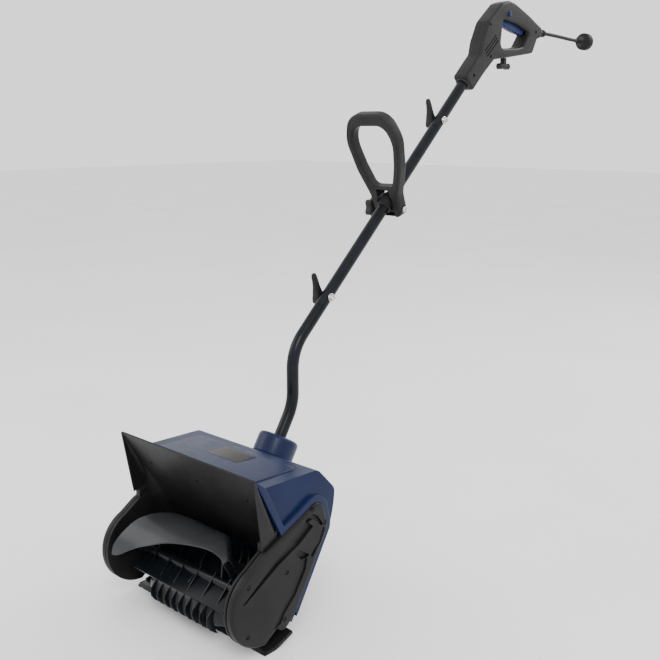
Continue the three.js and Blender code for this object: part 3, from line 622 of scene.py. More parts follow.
def wall_mesh():
    """The sloped face and the wall behind the auger, whose ends grow rounder on the way down."""
    end_row = FACE_LENGTH + CHAMBER_RADIUS * math.radians(TANGENT + 84)
    rows = WING_ROWS + [WING_DOWN + (end_row - WING_DOWN) * i / 46 for i in range(1, 47)]
    middle = [(-WALL_FLAT + 2 * WALL_FLAT * k / MIDDLE_STEPS, 0.0) for k in range(1, MIDDLE_STEPS)]
    rings = []
    for t in rows:
        place, front = throat_row(t)
        share = max(0.0, min(1.0, (t - 62) / 88))
        rise = share * share * (3 - 2 * share)
        right = wall_end(max(4.0, min(30.0, 0.5 * (FACE_LENGTH - t))) * rise)
        left = [(-x, h) for x, h in reversed(right)]
        rings.append([at(x, *(place + front * h)) for x, h in left + middle + right])
    return loft_mesh("chamber", rings, caps=False, closed=False)


def wing_mesh(side):
    """A wing of the deflector, folded forward and wider towards its foot."""
    rings = []
    for t in WING_ROWS:
        place, front = throat_row(t)
        wide = WING_WIDE * t / WING_DOWN
        half = HALF_BODY - 4 * t / WING_DOWN
        bend = min(3 + 0.07 * t, 0.45 * wide + 0.05)
        points = [(HALF_CHAMBER, 0.0), ((HALF_CHAMBER + half - bend) / 2, 0.0)]
        for k in range(9):
            angle = math.pi / 2 * k / 8
            points.append((half - bend + bend * math.sin(angle), bend * (1 - math.cos(angle))))
        points += [(half, bend + (wide - bend) * k / 4) for k in range(1, 5)]
        rings.append([at(side * x, *(place + front * h)) for x, h in points])
    return loft_mesh("wing", rings, caps=False, closed=False)


def chamber_and_deflector():
    """One moulding: sloped face with folded wings, running down into the wall behind the auger."""
    mesh = join_meshes("auger_housing", [wall_mesh(), wing_mesh(-1), wing_mesh(1)])
    work = bmesh.new()
    work.from_mesh(mesh)
    bmesh.ops.remove_doubles(work, verts=work.verts, dist=0.00002)
    bmesh.ops.recalc_face_normals(work, faces=work.faces)
    middle_face = min(work.faces, key=lambda f: (f.calc_center_median() - at(0, *on_face(60))).length)
    if middle_face.normal.y > 0:
        bmesh.ops.reverse_faces(work, faces=work.faces)
    work.to_mesh(mesh)
    work.free()
    smooth(mesh, 50)
    rims = [
        side_mesh(
            "rim",
            plane([(3, 174), (33, 187), (35.5, 199.5), (3, 186)]),
            *sorted((side * (HALF_CHAMBER + 0.3), side * 162)),
            bevel=0.8,
        )
        for side in (-1, 1)
    ]
    piece = thing(
        "chamber_and_deflector", mesh, BLACK, "black_plastic", "auger_tunnel", "snow_deflector",
    )
    shell = piece.modifiers.new("wall", "SOLIDIFY")
    shell.thickness = 0.0029
    shell.offset = -1
    shell.use_even_offset = True
    shell.use_rim = True
    soften(piece, 0.8, 2, 50)
    thing("deflector_rims", join_meshes("deflector_rims", rims), BLACK, "black_plastic")


def deflector_screws():
    """Three small screws through the deflector's face."""
    tilt = math.atan2(FACE_FRONT.y, FACE_FRONT.x)
    profile = [(0, -1), (3.4, -1), (3.4, 0.5), (2.6, 1.2), (1.5, 1.2), (1.3, 0.4), (0, 0.4)]
    heads = [turned_mesh("head", profile, on_face(56), tilt, 24, x) for x in (-121, 0, 121)]
    thing("deflector_screws", join_meshes("deflector_screws", heads), BLACK_STEEL, "black_steel")


def scraper():
    profile = fillet([
        (0.2, 0, 0.6), (24, 0, 1), (62.3, 13.4, 1), (60.8, 19.4, 1), (22, 6.5, 2), (5, 6, 2), (0.2, 1.6, 0.5),
    ])
    mesh = side_mesh("scraper", profile, -HALF_BODY, HALF_BODY, bevel=0.35, rounds=1)
    thing("scraper", mesh, BLACK, "black_plastic", "scraper_bar")


chamber_and_deflector()
deflector_screws()
scraper()

# ---------- auger ----------
SPINE_ANGLE = 32
SPINE_REACH = 44
CURL = 32
SHELL = 3.4
# Each scoop's shell along the axis: place, trailing edge and leading edge, in degrees.
SCOOP = [
    (-132, 150, 173), (-116, 96, 170), (-96, 64, 160), (-76, 42, 150), (-50, 32, 140), (-20, 32, 128),
    (10, 32, 120), (46, 36, 113), (71, 62, 111), (98, 90, 114), (116, 106, 121),
]


def polar(radius, degrees):
    return Vector((radius * math.cos(math.radians(degrees)), radius * math.sin(math.radians(degrees))))


def between(rows, steps):
    """Rows with smooth ones put in between."""
    filled = []
    for i in range(len(rows) - 1):
        four = (rows[max(i - 1, 0)], rows[i], rows[i + 1], rows[min(i + 2, len(rows) - 1)])
        for k in range(steps):
            t = k / steps
            filled.append(tuple(
                0.5 * (2 * b + (c - a) * t + (2 * a - 5 * b + 4 * c - d) * t * t
                       + (3 * b - a - 3 * c + d) * t * t * t)
                for a, b, c, d in zip(*four)
            ))
    filled.append(rows[-1])
    return filled


def scoop_shell(turn):
    rings = []
    for x, trailing, leading in between(SCOOP, 5):
        curl = min(CURL, (leading - trailing) / 2)
        rise = AUGER_RADIUS - SPINE_REACH
        outside = [
            (SPINE_REACH + rise * math.sin(math.pi * i / 20), trailing + curl * i / 10) for i in range(10)
        ]
        outside += [
            (AUGER_RADIUS, trailing + curl + (leading - trailing - curl) * i / 14) for i in range(15)
        ]
        inside = [(radius - SHELL, angle) for radius, angle in reversed(outside)]
        rings.append([
            at(x, *(Vector(AUGER_AXIS) + polar(radius, angle + turn))) for radius, angle in outside + inside
        ])
    return loft_mesh("shell", rings)


def across_axis(corners, x, half, turn):
    turned = [Vector(AUGER_AXIS) + polar(radius, angle + turn) for radius, angle in corners]
    return side_mesh("rib", turned, x - half, x + half, bevel=0.3, rounds=1)


def claw_outline():
    """Hooked claw outside the shell's curl, as (radius, angle)."""
    outer = [(43, 0), (52, -1.2), (60, 1), (65.5, 5), (69.5, 11), (72, 19), (73, 29), (73, 34)]
    inner = [(69, 29), (63, 22), (57, 15), (50, 9), (41, 3)]
    return [(radius, SPINE_ANGLE + angle) for radius, angle in outer + inner]


def scoop_ribs(turn):
    ribs = []
    for x, trailing, leading in SCOOP[::2]:
        tip = min(trailing + 24, leading - 1)
        arm = [
            (AUGER_RADIUS - 1.5, tip), (HUB_RADIUS - 2, tip + 20), (HUB_RADIUS - 2, trailing - 30),
            (SPINE_REACH - 1.5, trailing + 1), (AUGER_RADIUS - 10, (trailing + tip) / 2),
        ]
        ribs.append(across_axis(arm, x + 2 if x < 0 else x - 2, 1.5, turn))
    web = [(SPINE_REACH - 1, SPINE_ANGLE), (HUB_RADIUS + 5, -90), (HUB_RADIUS - 2, 180)]
    ribs += [across_axis(web, x, 1, turn) for x in range(-90, 91, 36)]
    ribs += [across_axis(claw_outline(), x, 1, turn) for x in range(-54, 91, 18)]
    return ribs


def auger():
    hub = [
        (SHAFT_RADIUS + 0.4, -HALF_AUGER), (HUB_RADIUS - 1, -HALF_AUGER), (HUB_RADIUS, -HALF_AUGER + 1),
        (HUB_RADIUS, HALF_AUGER - 1), (HUB_RADIUS - 1, HALF_AUGER), (SHAFT_RADIUS + 0.4, HALF_AUGER),
    ]
    spine = [
        Vector(AUGER_AXIS) + polar(reach, SPINE_ANGLE) + polar(side * SHELL / 2, SPINE_ANGLE + 90)
        for reach, side in ((-SPINE_REACH, -1), (SPINE_REACH, -1), (SPINE_REACH, 1), (-SPINE_REACH, 1))
    ]
    frame_parts = [
        rod_mesh("hub", hub, AUGER_AXIS, 48, cycle=True),
        side_mesh("spine", spine, -120, 112, bevel=0.8),
        *scoop_ribs(0),
        *scoop_ribs(180),
    ]
    shells = [scoop_shell(0), scoop_shell(180)]
    # The scoops take the plastic's grey; the hub, spine and ribs take its darker copy, which is painted
    # shade.
    for name, parts, material in (
        ("auger_scoops", shells, AUGER_GREY), ("auger_ribs_painted_shade", frame_parts, AUGER_RIBS_PAINTED_SHADE),
    ):
        mesh = join_meshes(name, parts)
        piece = thing(name, mesh, material, "auger_plastic", "auger", body="auger_assembly")
        soften(piece, 0.6, 2, 50)


# ---------- housing ----------
HOUSING = fillet([
    (0.8, 268, 3), (140, 264.5, 14), (171, 226, 14), (163, 190, 20), (156, 166, 12), (77, 43, 14), (66, 28.5),
])
COVER_SCREWS = [(104, 213), (133.5, 182.5), (46.5, 127), (-34, 131.5), (40, 49.5), (-37, 51)]


def front_prism(name, outline, y0, y1):
    """A solid of an outline seen from the front, (x, z), from y0 to y1."""
    return loft_mesh(name, [[at(x, y, z) for x, z in outline] for y in (y0, y1)])


def behind_deflector(x0, x1):
    corners = [(36, 150), (34.6, 300), (200, 300), (200, 28), (75, 28), (66, 60)]
    return side_mesh("behind", plane(corners), x0, x1)


def housing_rim(side):
    x0, x1 = sorted((side * (HALF_CHAMBER - 1), side * HALF_BODY))
    rim = side_mesh("rim", grown(CHEEK, 11), x0, x1, bevel=1.6)
    rim = carve(rim, [behind_deflector(x0 - 1, x1 + 1)], "INTERSECT")
    corners = [(14, -BEHIND_WALL), (130, -BEHIND_WALL), (130, -15), (26, -15), (14, -9)]
    strip = side_mesh("strip", [on_face(*corner) for corner in corners], x0, x1, bevel=1.6)
    rim = carve(rim, [strip], "UNION")
    inside = side_mesh("inside", grown(CHEEK, 0.4), *sorted((side * HALF_CHAMBER, side * 180)))
    return carve(rim, [inside, *chamber_room()])


def chamber_room():
    """The space of the chamber and in front of the deflector."""
    back = -BEHIND_WALL
    radius = CHAMBER_RADIUS + BEHIND_WALL
    room = [on_face(-30, back), on_face(FACE_LENGTH, back), on_face(FACE_LENGTH, 80), on_face(-30, 80)]
    return [
        rod_mesh("round", [(radius, -HALF_HEAD), (radius, HALF_HEAD)], AUGER_AXIS, 96),
        side_mesh("front", room, -HALF_HEAD, HALF_HEAD),
    ]


def motor_housing():
    """Moulded shell with sloped shoulders, a raised panel, and a rim round each side cover."""
    wide = 159
    chamber_side = arc(AUGER_AXIS, CHAMBER_RADIUS + BEHIND_WALL, -36, TANGENT, 20)
    chamber_side.append(on_face(2, -BEHIND_WALL))
    body = side_mesh("body", HOUSING + chamber_side, -wide, wide)
    shoulders = [(-148, 280), (-148, 266), (-156, 236), (-159, 205), (-159, 20)]
    wedge = front_prism("wedge", shoulders + [(-x, z) for x, z in reversed(shoulders)], -60, 260)
    body = carve(body, [wedge], "INTERSECT")
    panel_corners = [(-122, 4, 5), (122, 4, 5), (122, 119, 12), (-122, 119, 12)]
    panel = outline_mesh("panel", fillet(panel_corners), 8, bevel=2.6)
    lean = Matrix.Rotation(-math.atan2(3.5, 139.2), 4, "X")
    panel.transform(TO_FRAME @ Matrix.Translation((0, 0, 266.3)) @ lean)
    boss_profile = [(0, -50), (43.5, -50), (43.5, -9), (38, -0.4), (0, -0.4)]
    boss = turned_mesh("boss", boss_profile, COLLAR_FOOT, COLLAR_TILT, 72)
    body = carve(body, [panel, boss], "UNION")
    cavity = [(-40, 264.5), (137, 261), (167, 226), (159.5, 191), (152, 168), (74, 48), (68, 42), (-60, 42)]
    cutters = [
        side_mesh("cavity", plane(cavity), -147, 147),
        turned_mesh("bore", [(0, -44), (30, -44), (30, -10), (0, -10)], COLLAR_FOOT, COLLAR_TILT),
        turned_mesh("socket", [(0, -12), (24, -12), (24, 1), (0, 1)], COLLAR_FOOT, COLLAR_TILT),
        *chamber_room(),
    ]
    for side in (-1, 1):
        x0, x1 = sorted((side * HALF_CHAMBER, side * 180))
        cutters.append(side_mesh("cheek_room", grown(CHEEK, 0.4), x0, x1))
        low, high = sorted((0, side * HALF_HEAD))
        cutters.append(rod_mesh("shaft_room", [(7, low), (7, high)], MOTOR_AXIS, 32))
    body = carve(body, cutters)
    piece = thing(
        "motor_cowl", join_meshes("motor_cowl", [body, housing_rim(-1), housing_rim(1)]),
        NAVY, "blue_plastic", "motor_housing",
    )
    soften(piece, 2.2, 3, 28)


def collar():
    profile = [
        (11.4, -9), (23.6, -9), (23.6, 0), (36.5, 0), (36.5, 27), (36.1, 30.4), (34.9, 33.2), (32.8, 35.2),
        (30, 36), (17, 36), (15, 35.2), (13.6, 33), (13.2, 30), (11.4, 29),
    ]
    piece = thing(
        "collar", turned_mesh("collar", profile, COLLAR_FOOT, COLLAR_TILT, 72, cycle=True),
        NAVY, "blue_plastic", "shaft_collar",
    )
    soften(piece, 1.0, 2, 40)


def badge():
    """Blank badge in a thin raised border."""
    corners = [(-38, 63, 3), (38, 63, 3), (38, 104, 3), (-38, 104, 3)]
    plate_mesh = outline_mesh("badge", fillet(corners), 1.7, bevel=0.5)
    plate_mesh.transform(TO_FRAME @ Matrix.Translation((0, 0, 268)))
    smooth(plate_mesh)
    thing("badge_face", plate_mesh, BADGE, "badge", "badge_plate")
    outer = fillet([(-39.8, 61.2, 4), (39.8, 61.2, 4), (39.8, 105.8, 4), (-39.8, 105.8, 4)])
    border = outline_mesh("border", outer, 1.6, holes=[fillet(corners)], bevel=0.4)
    border.transform(TO_FRAME @ Matrix.Translation((0, 0, 267.8)))
    smooth(border)
    thing("badge_border", border, NAVY, "blue_plastic")


# ---------- side plates and covers ----------
def cheek(side, word):
    x0, x1 = sorted((side * (HALF_CHAMBER + 0.3), side * CHEEK_INNER))
    hole = [Vector(AUGER_AXIS) + polar(13.3, -k * 9) for k in range(40)]
    mesh = side_mesh("cheek", CHEEK, x0, x1, holes=[hole], bevel=1.4)
    if side > 0:
        mesh = carve(mesh, [rod_mesh("pass", [(8, x0 - 1), (8, x1 + 1)], MOTOR_AXIS, 32)])
    thing("end_plate_" + word, mesh, BLACK, "black_plastic", "cheek_plate_" + word)


def cover_relief(x_face):
    """Cuts in the belt cover's face: a tapering groove, a stepped bay, a notch and a long valley."""
    def cut(corners, depth, x_out=4.0):
        return side_mesh("cut", plane(corners), x_face - depth, x_face + x_out)

    return [
        cut([(-47, 106.5), (-42, 106.5), (30, 146), (76, 165), (56, 176), (20, 152)], 4.2),
        cut([(54, 176), (76, 165), (106, 184), (90, 199)], 5.2),
        cut([(88, 200.5), (104.6, 206), (116, 199), (129, 181), (125, 179), (112, 192), (103, 197),
             (92, 194)], 4.6),
        cut([(65.5, 150), (76, 154), (97, 139), (91, 135.5), (78, 137)], 4.6),
        cut([(74, 137), (92, 135), (88, 115.9), (64.4, 81.3), (40, 58), (30.7, 44), (17, 40), (28.6, 60.4),
             (49.3, 97.3), (64.9, 120.8)], 2.6),
        cut([(102.8, 131), (100.4, 137), (119, 154), (130, 177), (133, 170), (122, 150)], 2.6),
    ]


def side_cover(side, word, node):
    x0, x1 = sorted((side * (CHEEK_INNER + 0.3), side * HALF_HEAD))
    mesh = side_mesh("cover", CHEEK, x0, x1, bevel=4.5, rounds=4)
    inner = grown(CHEEK, -3)
    cutters = [
        side_mesh("hollow", inner, *sorted((side * HALF_CHAMBER, side * (HALF_HEAD - 6.5)))),
    ]
    for centre in COVER_SCREWS:
        cutters.append(rod_mesh("counterbore", [(4.1, side * 167), (4.1, side * 172)], centre, 24))
    if side > 0:
        cutters += cover_relief(HALF_HEAD)
    mesh = carve(mesh, cutters)
    piece = thing("cover_" + word, mesh, BLACK, "black_plastic", node)
    soften(piece, 0.8, 2, 35)
    step_outer = grown(CHEEK, -7.5)
    step_inner = grown(CHEEK, -8.7)
    low, high = sorted((side * (HALF_HEAD - 0.8), side * (HALF_HEAD - 0.1)))
    return side_mesh("line", step_outer, low, high, holes=[step_inner], bevel=0.2, rounds=1)


# ---------- shaft ----------
def path_ring(points, i, radius, sides):
    """Circle across a path at one of its points."""
    before = points[max(i - 1, 0)]
    after = points[min(i + 1, len(points) - 1)]
    along = (Vector(after) - Vector(before)).normalized()
    up = Vector((0, -along.y, along.x))
    return circle(at(0, *points[i]), up, radius, sides)


def pipe_mesh(name, points, radius, bore, sides=44):
    """A pipe with open ends along points of the side plane; radius and bore may vary along it."""
    radii = radius if isinstance(radius, list) else [radius] * len(points)
    outside = [path_ring(points, i, radii[i], sides) for i in range(len(points))]
    inside = [path_ring(points, i, bore, sides) for i in reversed(range(len(points)))]
    return loft_mesh(name, outside + inside, cycle=True)


def lower_path():
    """Up out of the collar, then two bends into the line of the shaft."""
    foot = Vector(COLLAR_FOOT)
    knee = Vector(TUBE_KNEE)
    bend = Vector(TUBE_BEND)
    seam = Vector(LOWER_SEAM)
    inside = foot - (knee - foot).normalized() * 8
    points = [inside, foot + (knee - foot) * 0.2]
    for before, corner, after in ((foot, knee, bend), (knee, bend, seam)):
        a = (before - corner)
        b = (after - corner)
        reach = 85 / math.tan(a.angle(b) / 2)
        start = corner + a.normalized() * reach
        end = corner + b.normalized() * reach
        for k in range(17):
            t = k / 16
            points.append(start * (1 - t) ** 2 + corner * 2 * t * (1 - t) + end * t * t)
    points.append(Vector(on_shaft(-0.3)))
    return points


def tubes():
    middle = [on_shaft(SHAFT_LENGTH * k / 12) for k in range(12)] + [on_shaft(SHAFT_LENGTH - 0.3)]
    upper = [on_shaft(SHAFT_LENGTH + 148 * k / 6) for k in range(7)]
    sections = (
        ("lower_shaft", lower_path(), "lower_tube"),
        ("middle_shaft", middle, "middle_tube"),
        ("upper_shaft", upper, "upper_tube"),
    )
    for name, points, node in sections:
        mesh = pipe_mesh(name, points, TUBE_RADIUS, TUBE_BORE)
        piece = thing(name, mesh, TUBE_PAINT, "tube_paint", node)
        soften(piece, 0.5, 2, 50)


def joint_bolt(word, centre):
    """Round-headed socket bolt through the joint, with a washer under its head."""
    profile = [
        (0, -19.5), (3, -19.5), (3, 11.2), (7.4, 11.2), (7.6, 11.5), (7.6, 12.6), (7.2, 12.9), (6.2, 13),
        (6.3, 13.6), (5.9, 15.6), (4.9, 17), (4.2, 17.2), (0, 17.2),
    ]
    head = rod_mesh("bolt", profile, centre)
    hexagon = [Vector(centre) + polar(2.6, -60 * k) for k in range(6)]
    head = carve(head, [side_mesh("socket", hexagon, 15, 18)])
    thing(word + "_bolt", head, STEEL, "bright_steel", word + "_joint_bolt")


def joint_lever(word, centre):
    """Quick lever: a hub on the bolt, a long thumb blade and a short cam tail."""
    y, z = centre
    stations = [
        ((y - 3.2, z - 13), 5.0, 5.5, 0), ((y - 2.6, z - 10), 7.2, 7.6, 0), ((y - 1.2, z - 4), 8.8, 8.8, 0),
        ((y, z + 2), 8.9, 8.8, 0), ((y - 3, z + 10), 7.2, 7.2, 0.2), ((y - 5.5, z + 18), 6.0, 5.6, 0.8),
        ((y - 8.5, z + 28), 5.6, 4.4, 1.0), ((y - 10.8, z + 36), 5.2, 3.8, 0.4),
        ((y - 12.0, z + 41), 3.6, 2.8, 0),
    ]
    rings = []
    for place, wide, deep, shift in stations:
        ring = []
        for k in range(24):
            angle = math.tau * k / 24
            u = math.copysign(abs(math.cos(angle)) ** 0.55, math.cos(angle)) * wide
            v = math.copysign(abs(math.sin(angle)) ** 0.55, math.sin(angle)) * deep
            ring.append(at(-TUBE_RADIUS - 10.2 + shift + v, place[0] + u * 0.94, place[1] + u * 0.34))
        rings.append(ring)
    mesh = loft_mesh("lever", rings)
    room = [(TUBE_RADIUS + 1.4, -TUBE_RADIUS - 1.2), (TUBE_RADIUS + 1.4, 12)]
    pin = rod_mesh("pin", [(3.3, -40), (3.3, 0)], centre, 24)
    mesh = carve(mesh, [rod_mesh("room", room, centre, 32), pin])
    thing(
        word + "_lever_grip", mesh,
        HANDLE_BLACK, "black_plastic", word + "_joint_lever", body=word + "_lever",
    )


# ---------- front handle ----------
D_UP = Vector((0, -math.sin(D_LEAN), math.cos(D_LEAN)))
D_ACROSS = Vector((1, 0, 0))
D_FRONT = D_ACROSS.cross(D_UP)
D_FRAME = Matrix.Translation(at(0, *D_PIVOT)) @ Matrix((
    (D_ACROSS.x, D_UP.x, D_FRONT.x, 0),
    (D_ACROSS.y, D_UP.y, D_FRONT.y, 0),
    (D_ACROSS.z, D_UP.z, D_FRONT.z, 0),
    (0, 0, 0, 1),
)) @ Matrix.Scale(0.001, 4)


def mirrored(corners):
    return corners + [(-x, v, r) for x, v, r in reversed(corners)]


def handle_plate(name, corners, depth, holes=(), bevel=0.0, rounds=3):
    mesh = outline_mesh(name, corners, depth, holes, bevel, rounds)
    mesh.transform(D_FRAME)
    smooth(mesh)
    return mesh


def front_handle():
    """Closed loop of rounded band section, forked at its foot round the clamp."""
    outer = fillet(mirrored([(32, -14, 14), (33, 30, 40), (52, 80, 80), (63, 140, 60), (44, 190, 40)]), 6)
    inner = fillet(mirrored([(24, 48, 14), (38, 88, 60), (48, 135, 50), (34, 167, 26)]), 6)
    body = handle_plate("loop", outer, 24, [inner], 5.5, 5)
    fork = handle_plate("fork", fillet([(-18, -40), (18, -40), (18, 31, 10), (-18, 31, 10)]), 90)
    arch_corners = [(-20, 48.6), (-20, -20), (20, -20), (20, 48.6), (0, 36.2)]
    lean_up = Vector((-math.sin(D_LEAN), math.cos(D_LEAN)))
    lean_back = Vector((-math.cos(D_LEAN), -math.sin(D_LEAN)))
    arch = side_mesh(
        "arch",
        [Vector(D_PIVOT) + lean_up * v + lean_back * n for n, v in arch_corners],
        -TUBE_RADIUS - 4, TUBE_RADIUS + 4,
    )
    bolt_room = rod_mesh("bolt_room", [(3.4, -60), (3.4, 60)], D_PIVOT, 24)
    nut = [Vector(D_PIVOT) + polar(7.6, -60 * k) for k in range(6)]
    body = carve(body, [fork, arch, bolt_room, side_mesh("hex_pocket", nut, 30.2, 50)])
    piece = thing(
        "front_grip_loop", body,
        HANDLE_BLACK, "black_plastic", "front_handle", body="front_handle_body",
    )
    soften(piece, 0.9, 2, 40)
    rim_mesh = handle_plate("rim", grown(outer, -4.2), 24.5, [grown(outer, -5.2)], 0.2, 1)
    thing("front_grip_rim", rim_mesh, HANDLE_BLACK, "black_plastic", body="front_handle_body")


def front_clamp():
    """Split clamp with a toothed ring at each end, and the lug the handle's bolt squeezes."""
    s = (Vector(D_PIVOT) - Vector(LOWER_SEAM)).dot(SHAFT)
    radii = [12.6, 13.5, 13.5, 14.6, 14.6, 13.5, 13.5, 14.6, 14.6, 13.5, 13.5, 12.6]
    steps = [-15, -14.2, -12.4, -12.2, -9.8, -9.6, 9.6, 9.8, 12.2, 12.4, 14.2, 15]
    collar_mesh = pipe_mesh(
        "collar", [on_shaft(s + step) for step in steps], radii, TUBE_RADIUS + SLIP,
    )
    lug_profile = [(3.4, -17.4), (8.4, -17.4), (9, -16.8), (9, 16.8), (8.4, 17.4), (3.4, 17.4)]
    lug = rod_mesh("lug", lug_profile, D_PIVOT)
    lug = carve(lug, [
        pipe_mesh("inner", [on_shaft(s + k) for k in (-30, 0, 30)], TUBE_RADIUS + 0.5, 0.5, 44),
        rod_mesh("bolt_room", [(3.3, -40), (3.3, 40)], D_PIVOT, 24),
    ])
    teeth = []
    for k in range(18):
        centre = Vector(D_PIVOT) + polar(7.2, 20 * k)
        for low, high in ((15.6, 17.7), (-17.7, -15.6)):
            teeth.append(rod_mesh("tooth", [(1.0, low), (1.0, high)], centre, 8))
    thing(
        "clamp", join_meshes("clamp", [collar_mesh, lug, *teeth]),
        HANDLE_BLACK, "black_plastic", "front_handle_clamp", body="front_clamp",
    )


def front_bolt():
    shank = rod_mesh("shank", [(0, -42), (3, -42), (3, 33), (0, 33)], D_PIVOT, 28)
    hexagon = [Vector(D_PIVOT) + polar(6.2, -60 * k) for k in range(6)]
    head = side_mesh("head", hexagon, 31, 35.5, bevel=0.5)
    thing(
        "front_bolt", join_meshes("front_bolt", [shank, head]),
        STEEL, "bright_steel", "front_handle_bolt", body="front_handle_body",
    )


def front_knob():
    """Clamping knob with five finger lobes and a stepped hub."""
    star = [
        Vector(D_PIVOT) + polar(18.6 + 2.7 * math.cos(math.radians(5 * k)), -k) for k in range(0, 360, 3)
    ]
    knob = side_mesh("knob", star, -49.6, -34.4, bevel=2.6, rounds=4)
    hub = rod_mesh("hub", [(3.4, -36), (11, -36), (11, -33.4), (3.4, -33.4)], D_PIVOT, 32)
    cap = rod_mesh("cap", [(0, -49.9), (9, -49.9), (9.6, -49.5), (9.6, -48), (0, -48)], D_PIVOT, 32)
    knob = carve(knob, [rod_mesh("room", [(3.3, -44), (3.3, -30)], D_PIVOT, 24)])
    thing(
        "knob", join_meshes("knob", [knob, hub, cap]),
        HANDLE_BLACK, "black_plastic", "front_handle_knob", body="front_knob",
    )


# ---------- rear handle ----------
HANDLE = fillet([
    (714, 904, 6), (752, 940, 20), (764, 950, 14), (769, 974, 20), (790, 1016, 30), (840, 1056, 24),
    (868, 1063, 20), (892, 1059, 20), (945, 1041, 40), (988, 1023, 20), (1003, 1018, 8), (1000, 997, 8),
    (984, 993, 9), (967, 962, 9), (862, 947, 20), (818, 942, 20), (779, 911, 20), (741, 876, 6),
], 7)
HANDLE_LOOP = fillet([
    (845, 1024, 6), (838, 965, 12), (906, 970, 10), (926, 974, 8), (951, 1004, 6), (900, 1018, 30),
], 7)
TRIGGER_PIN = (944, 1017)
LOCK_BUTTON = (866, 1036)
HANDLE_SCREWS = [(742, 907), (801, 947), (975, 1007), (796, 1010)]


def handle_cutters(side):
    trigger_room = [(856, 1038), (851, 1014), (900, 1004), (951, 998), (954, 1020), (900, 1036)]
    shaft_points = [on_shaft(480), on_shaft(550), on_shaft(SHAFT_LENGTH + 150)]
    shaft_end = pipe_mesh("shaft_end", shaft_points, TUBE_RADIUS + 0.3, 0.2, 32)
    cord_hole = turned_mesh(
        "cord_hole", [(0, -20), (9, -20), (9, -4.2), (6.4, -4.2), (6.4, 12), (0, 12)], CORD_EXIT, 0, 32,
    )
    cutters = [
        shaft_end,
        cord_hole,
        side_mesh("trigger_room", plane(trigger_room), -6.6, 6.6),
    ]
    relief = []
    slope = polar(1, 41)
    rise = polar(1, 131)
    for k in range(3):
        middle = Vector((798, 973)) - rise * 6.5 * k
        slot = [middle + slope * a + rise * b for a, b in ((-26, -1.2), (26, -1.2), (26, 1.2), (-26, 1.2))]
        relief.append(side_mesh("vent", slot, *sorted((side * 14.6, side * 20))))
    low, high = sorted((side * 13.5, side * 20))
    for centre in HANDLE_SCREWS:
        relief.append(rod_mesh("screw", [(0, low), (3, low), (3, high), (0, high)], centre, 20))
    cutters.append(join_meshes("relief", relief))
    if side > 0:
        cutters.append(rod_mesh("button_room", [(5.4, 8), (5.4, 20)], LOCK_BUTTON, 28))
    return cutters


def handle_shell(side, word):
    x0, x1 = sorted((side * 0.15, side * GRIP_HALF))
    half = side_mesh("half", HANDLE, -GRIP_HALF, GRIP_HALF, holes=[HANDLE_LOOP], bevel=5, rounds=5)
    keep = side_mesh("keep", plane([(690, 850), (1040, 850), (1040, 1090), (690, 1090)]), x0, x1)
    half = carve(half, [keep], "INTERSECT")
    inside = side_mesh(
        "inside", grown(HANDLE, -4.5), *sorted((side * -1, side * 11)), holes=[grown(HANDLE_LOOP, 4.5)],
    )
    half = carve(half, [inside, *handle_cutters(side)])
    piece = thing(
        "rear_grip_" + word, half,
        HANDLE_BLACK, "black_plastic", "rear_handle_" + word + "_shell",
    )
    soften(piece, 0.6, 2, 40)


def handle_sleeve():
    """Step and mouth ring where the tube runs into the handle."""
    mouth = SHAFT_LENGTH + 131
    radii = [13.2, 14.6, 15.2, 15.2, 14.4, 13.4]
    points = [on_shaft(mouth - 5 + 1.8 * k) for k in range(6)]
    mesh = pipe_mesh("mouth", points, radii, TUBE_RADIUS + SLIP)
    thing("rear_grip_mouth", mesh, HANDLE_BLACK, "black_plastic")


def trigger():
    """Trigger with ribs across its finger face."""
    profile = fillet([
        (859, 1034), (856, 1015, 4), (870, 1010, 8), (900, 1003, 30), (937, 998, 8), (944, 1006, 6),
        (949, 1020, 5), (938, 1022, 5), (900, 1028, 20),
    ])
    mesh = side_mesh("trigger", profile, -6, 6, bevel=1.5)
    cutters = [rod_mesh("pin", [(2.1, -10), (2.1, 10)], TRIGGER_PIN, 20)]
    for k in range(9):
        foot = Vector((868, 1009.6)).lerp(Vector((932, 997.6)), k / 8)
        cutters.append(rod_mesh("rib", [(1.1, -10), (1.1, 10)], foot, 12))
    thing(
        "finger_trigger", carve(mesh, cutters),
        CONTROL_BLUE, "control_blue", "trigger", body="trigger_body",
    )
    pin_profile = [(0, -13), (1.4, -13), (1.7, -12.6), (1.7, 12.6), (1.4, 13), (0, 13)]
    pin = rod_mesh("pin", pin_profile, TRIGGER_PIN, 20)
    thing("trigger_pivot", pin, STEEL, "bright_steel", "trigger_pin")


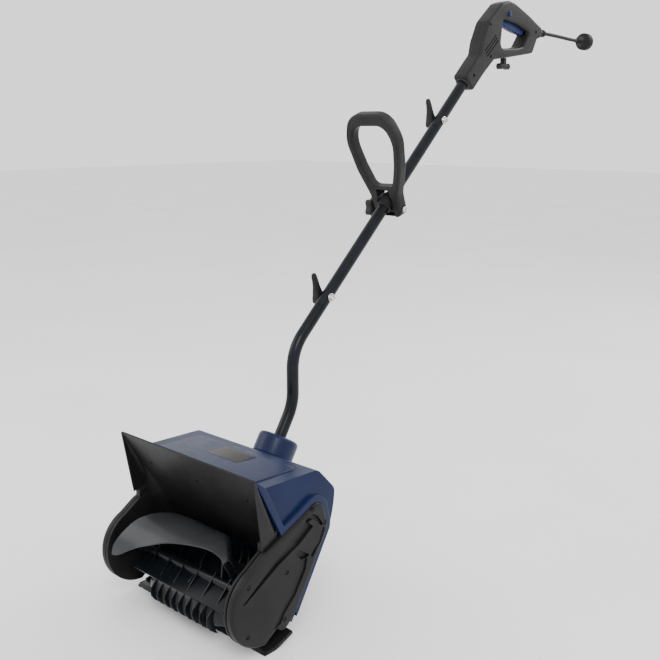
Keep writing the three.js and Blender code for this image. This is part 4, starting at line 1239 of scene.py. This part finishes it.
def lock_button():
    profile = [
        (0, 9.4), (6.4, 9.4), (6.4, 11.4), (5, 11.4), (5, GRIP_HALF + 2.4), (4.6, GRIP_HALF + 3.4),
        (3.8, GRIP_HALF + 3.9), (2, GRIP_HALF + 3.6), (0, GRIP_HALF + 3.5),
    ]
    thing(
        "lock_press", rod_mesh("lock", profile, LOCK_BUTTON, 36),
        CONTROL_BLUE, "control_blue", "lock_button", body="lock_button_body",
    )


def cord_hook():
    stem = side_mesh("stem", fillet([(870, 927), (881, 927), (881, 948), (870, 948)]), -5, 5, bevel=1.2)
    bar_outline = fillet([(856, 925.5, 5), (895, 925.5, 5), (895.4, 936, 5), (855.6, 936, 5)])
    bar = side_mesh("bar", bar_outline, -6.2, 6.2, bevel=3, rounds=4)
    end_profile = [(4.6, -6.4), (6.4, -5), (6.4, 5), (4.6, 6.4)]
    ends = [rod_mesh("end", end_profile, centre, 28) for centre in ((862, 931), (889, 931))]
    thing(
        "cord_keeper", join_meshes("keeper", [stem, bar, *ends]),
        HANDLE_BLACK, "black_plastic", "cord_hook",
    )


# ---------- assembly ----------
auger()
motor_housing()
collar()
badge()
cheek(-1, "left")
cheek(1, "right")
cover_lines = [side_cover(-1, "left", "left_cover"), side_cover(1, "right", "belt_cover")]
thing("cover_lines", join_meshes("cover_lines", cover_lines), BLACK, "black_plastic")
tubes()
for word, middle in (("lower", on_shaft(JOINT_BOLT)), ("upper", on_shaft(SHAFT_LENGTH + JOINT_BOLT))):
    joint_bolt(word, middle)
    joint_lever(word, middle)
front_handle()
front_clamp()
front_bolt()
front_knob()
handle_shell(-1, "left")
handle_shell(1, "right")
handle_sleeve()
trigger()
lock_button()
cord_hook()
stage()

LOOKS = {
    "black_plastic": BLACK, "blue_plastic": NAVY, "badge": BADGE, "bright_steel": STEEL,
    "black_steel": BLACK_STEEL, "belt_rubber": RUBBER, "auger_plastic": AUGER_GREY,
    "tube_paint": TUBE_PAINT, "control_blue": CONTROL_BLUE, "cord_rubber": RUBBER,
    "contact_brass": BRASS,
}
for row in frame["record"]["subparts"]:
    materials = frame["nodes"][row["node"]].data.materials
    materials.clear()
    materials.append(LOOKS[row["material_slot"]])
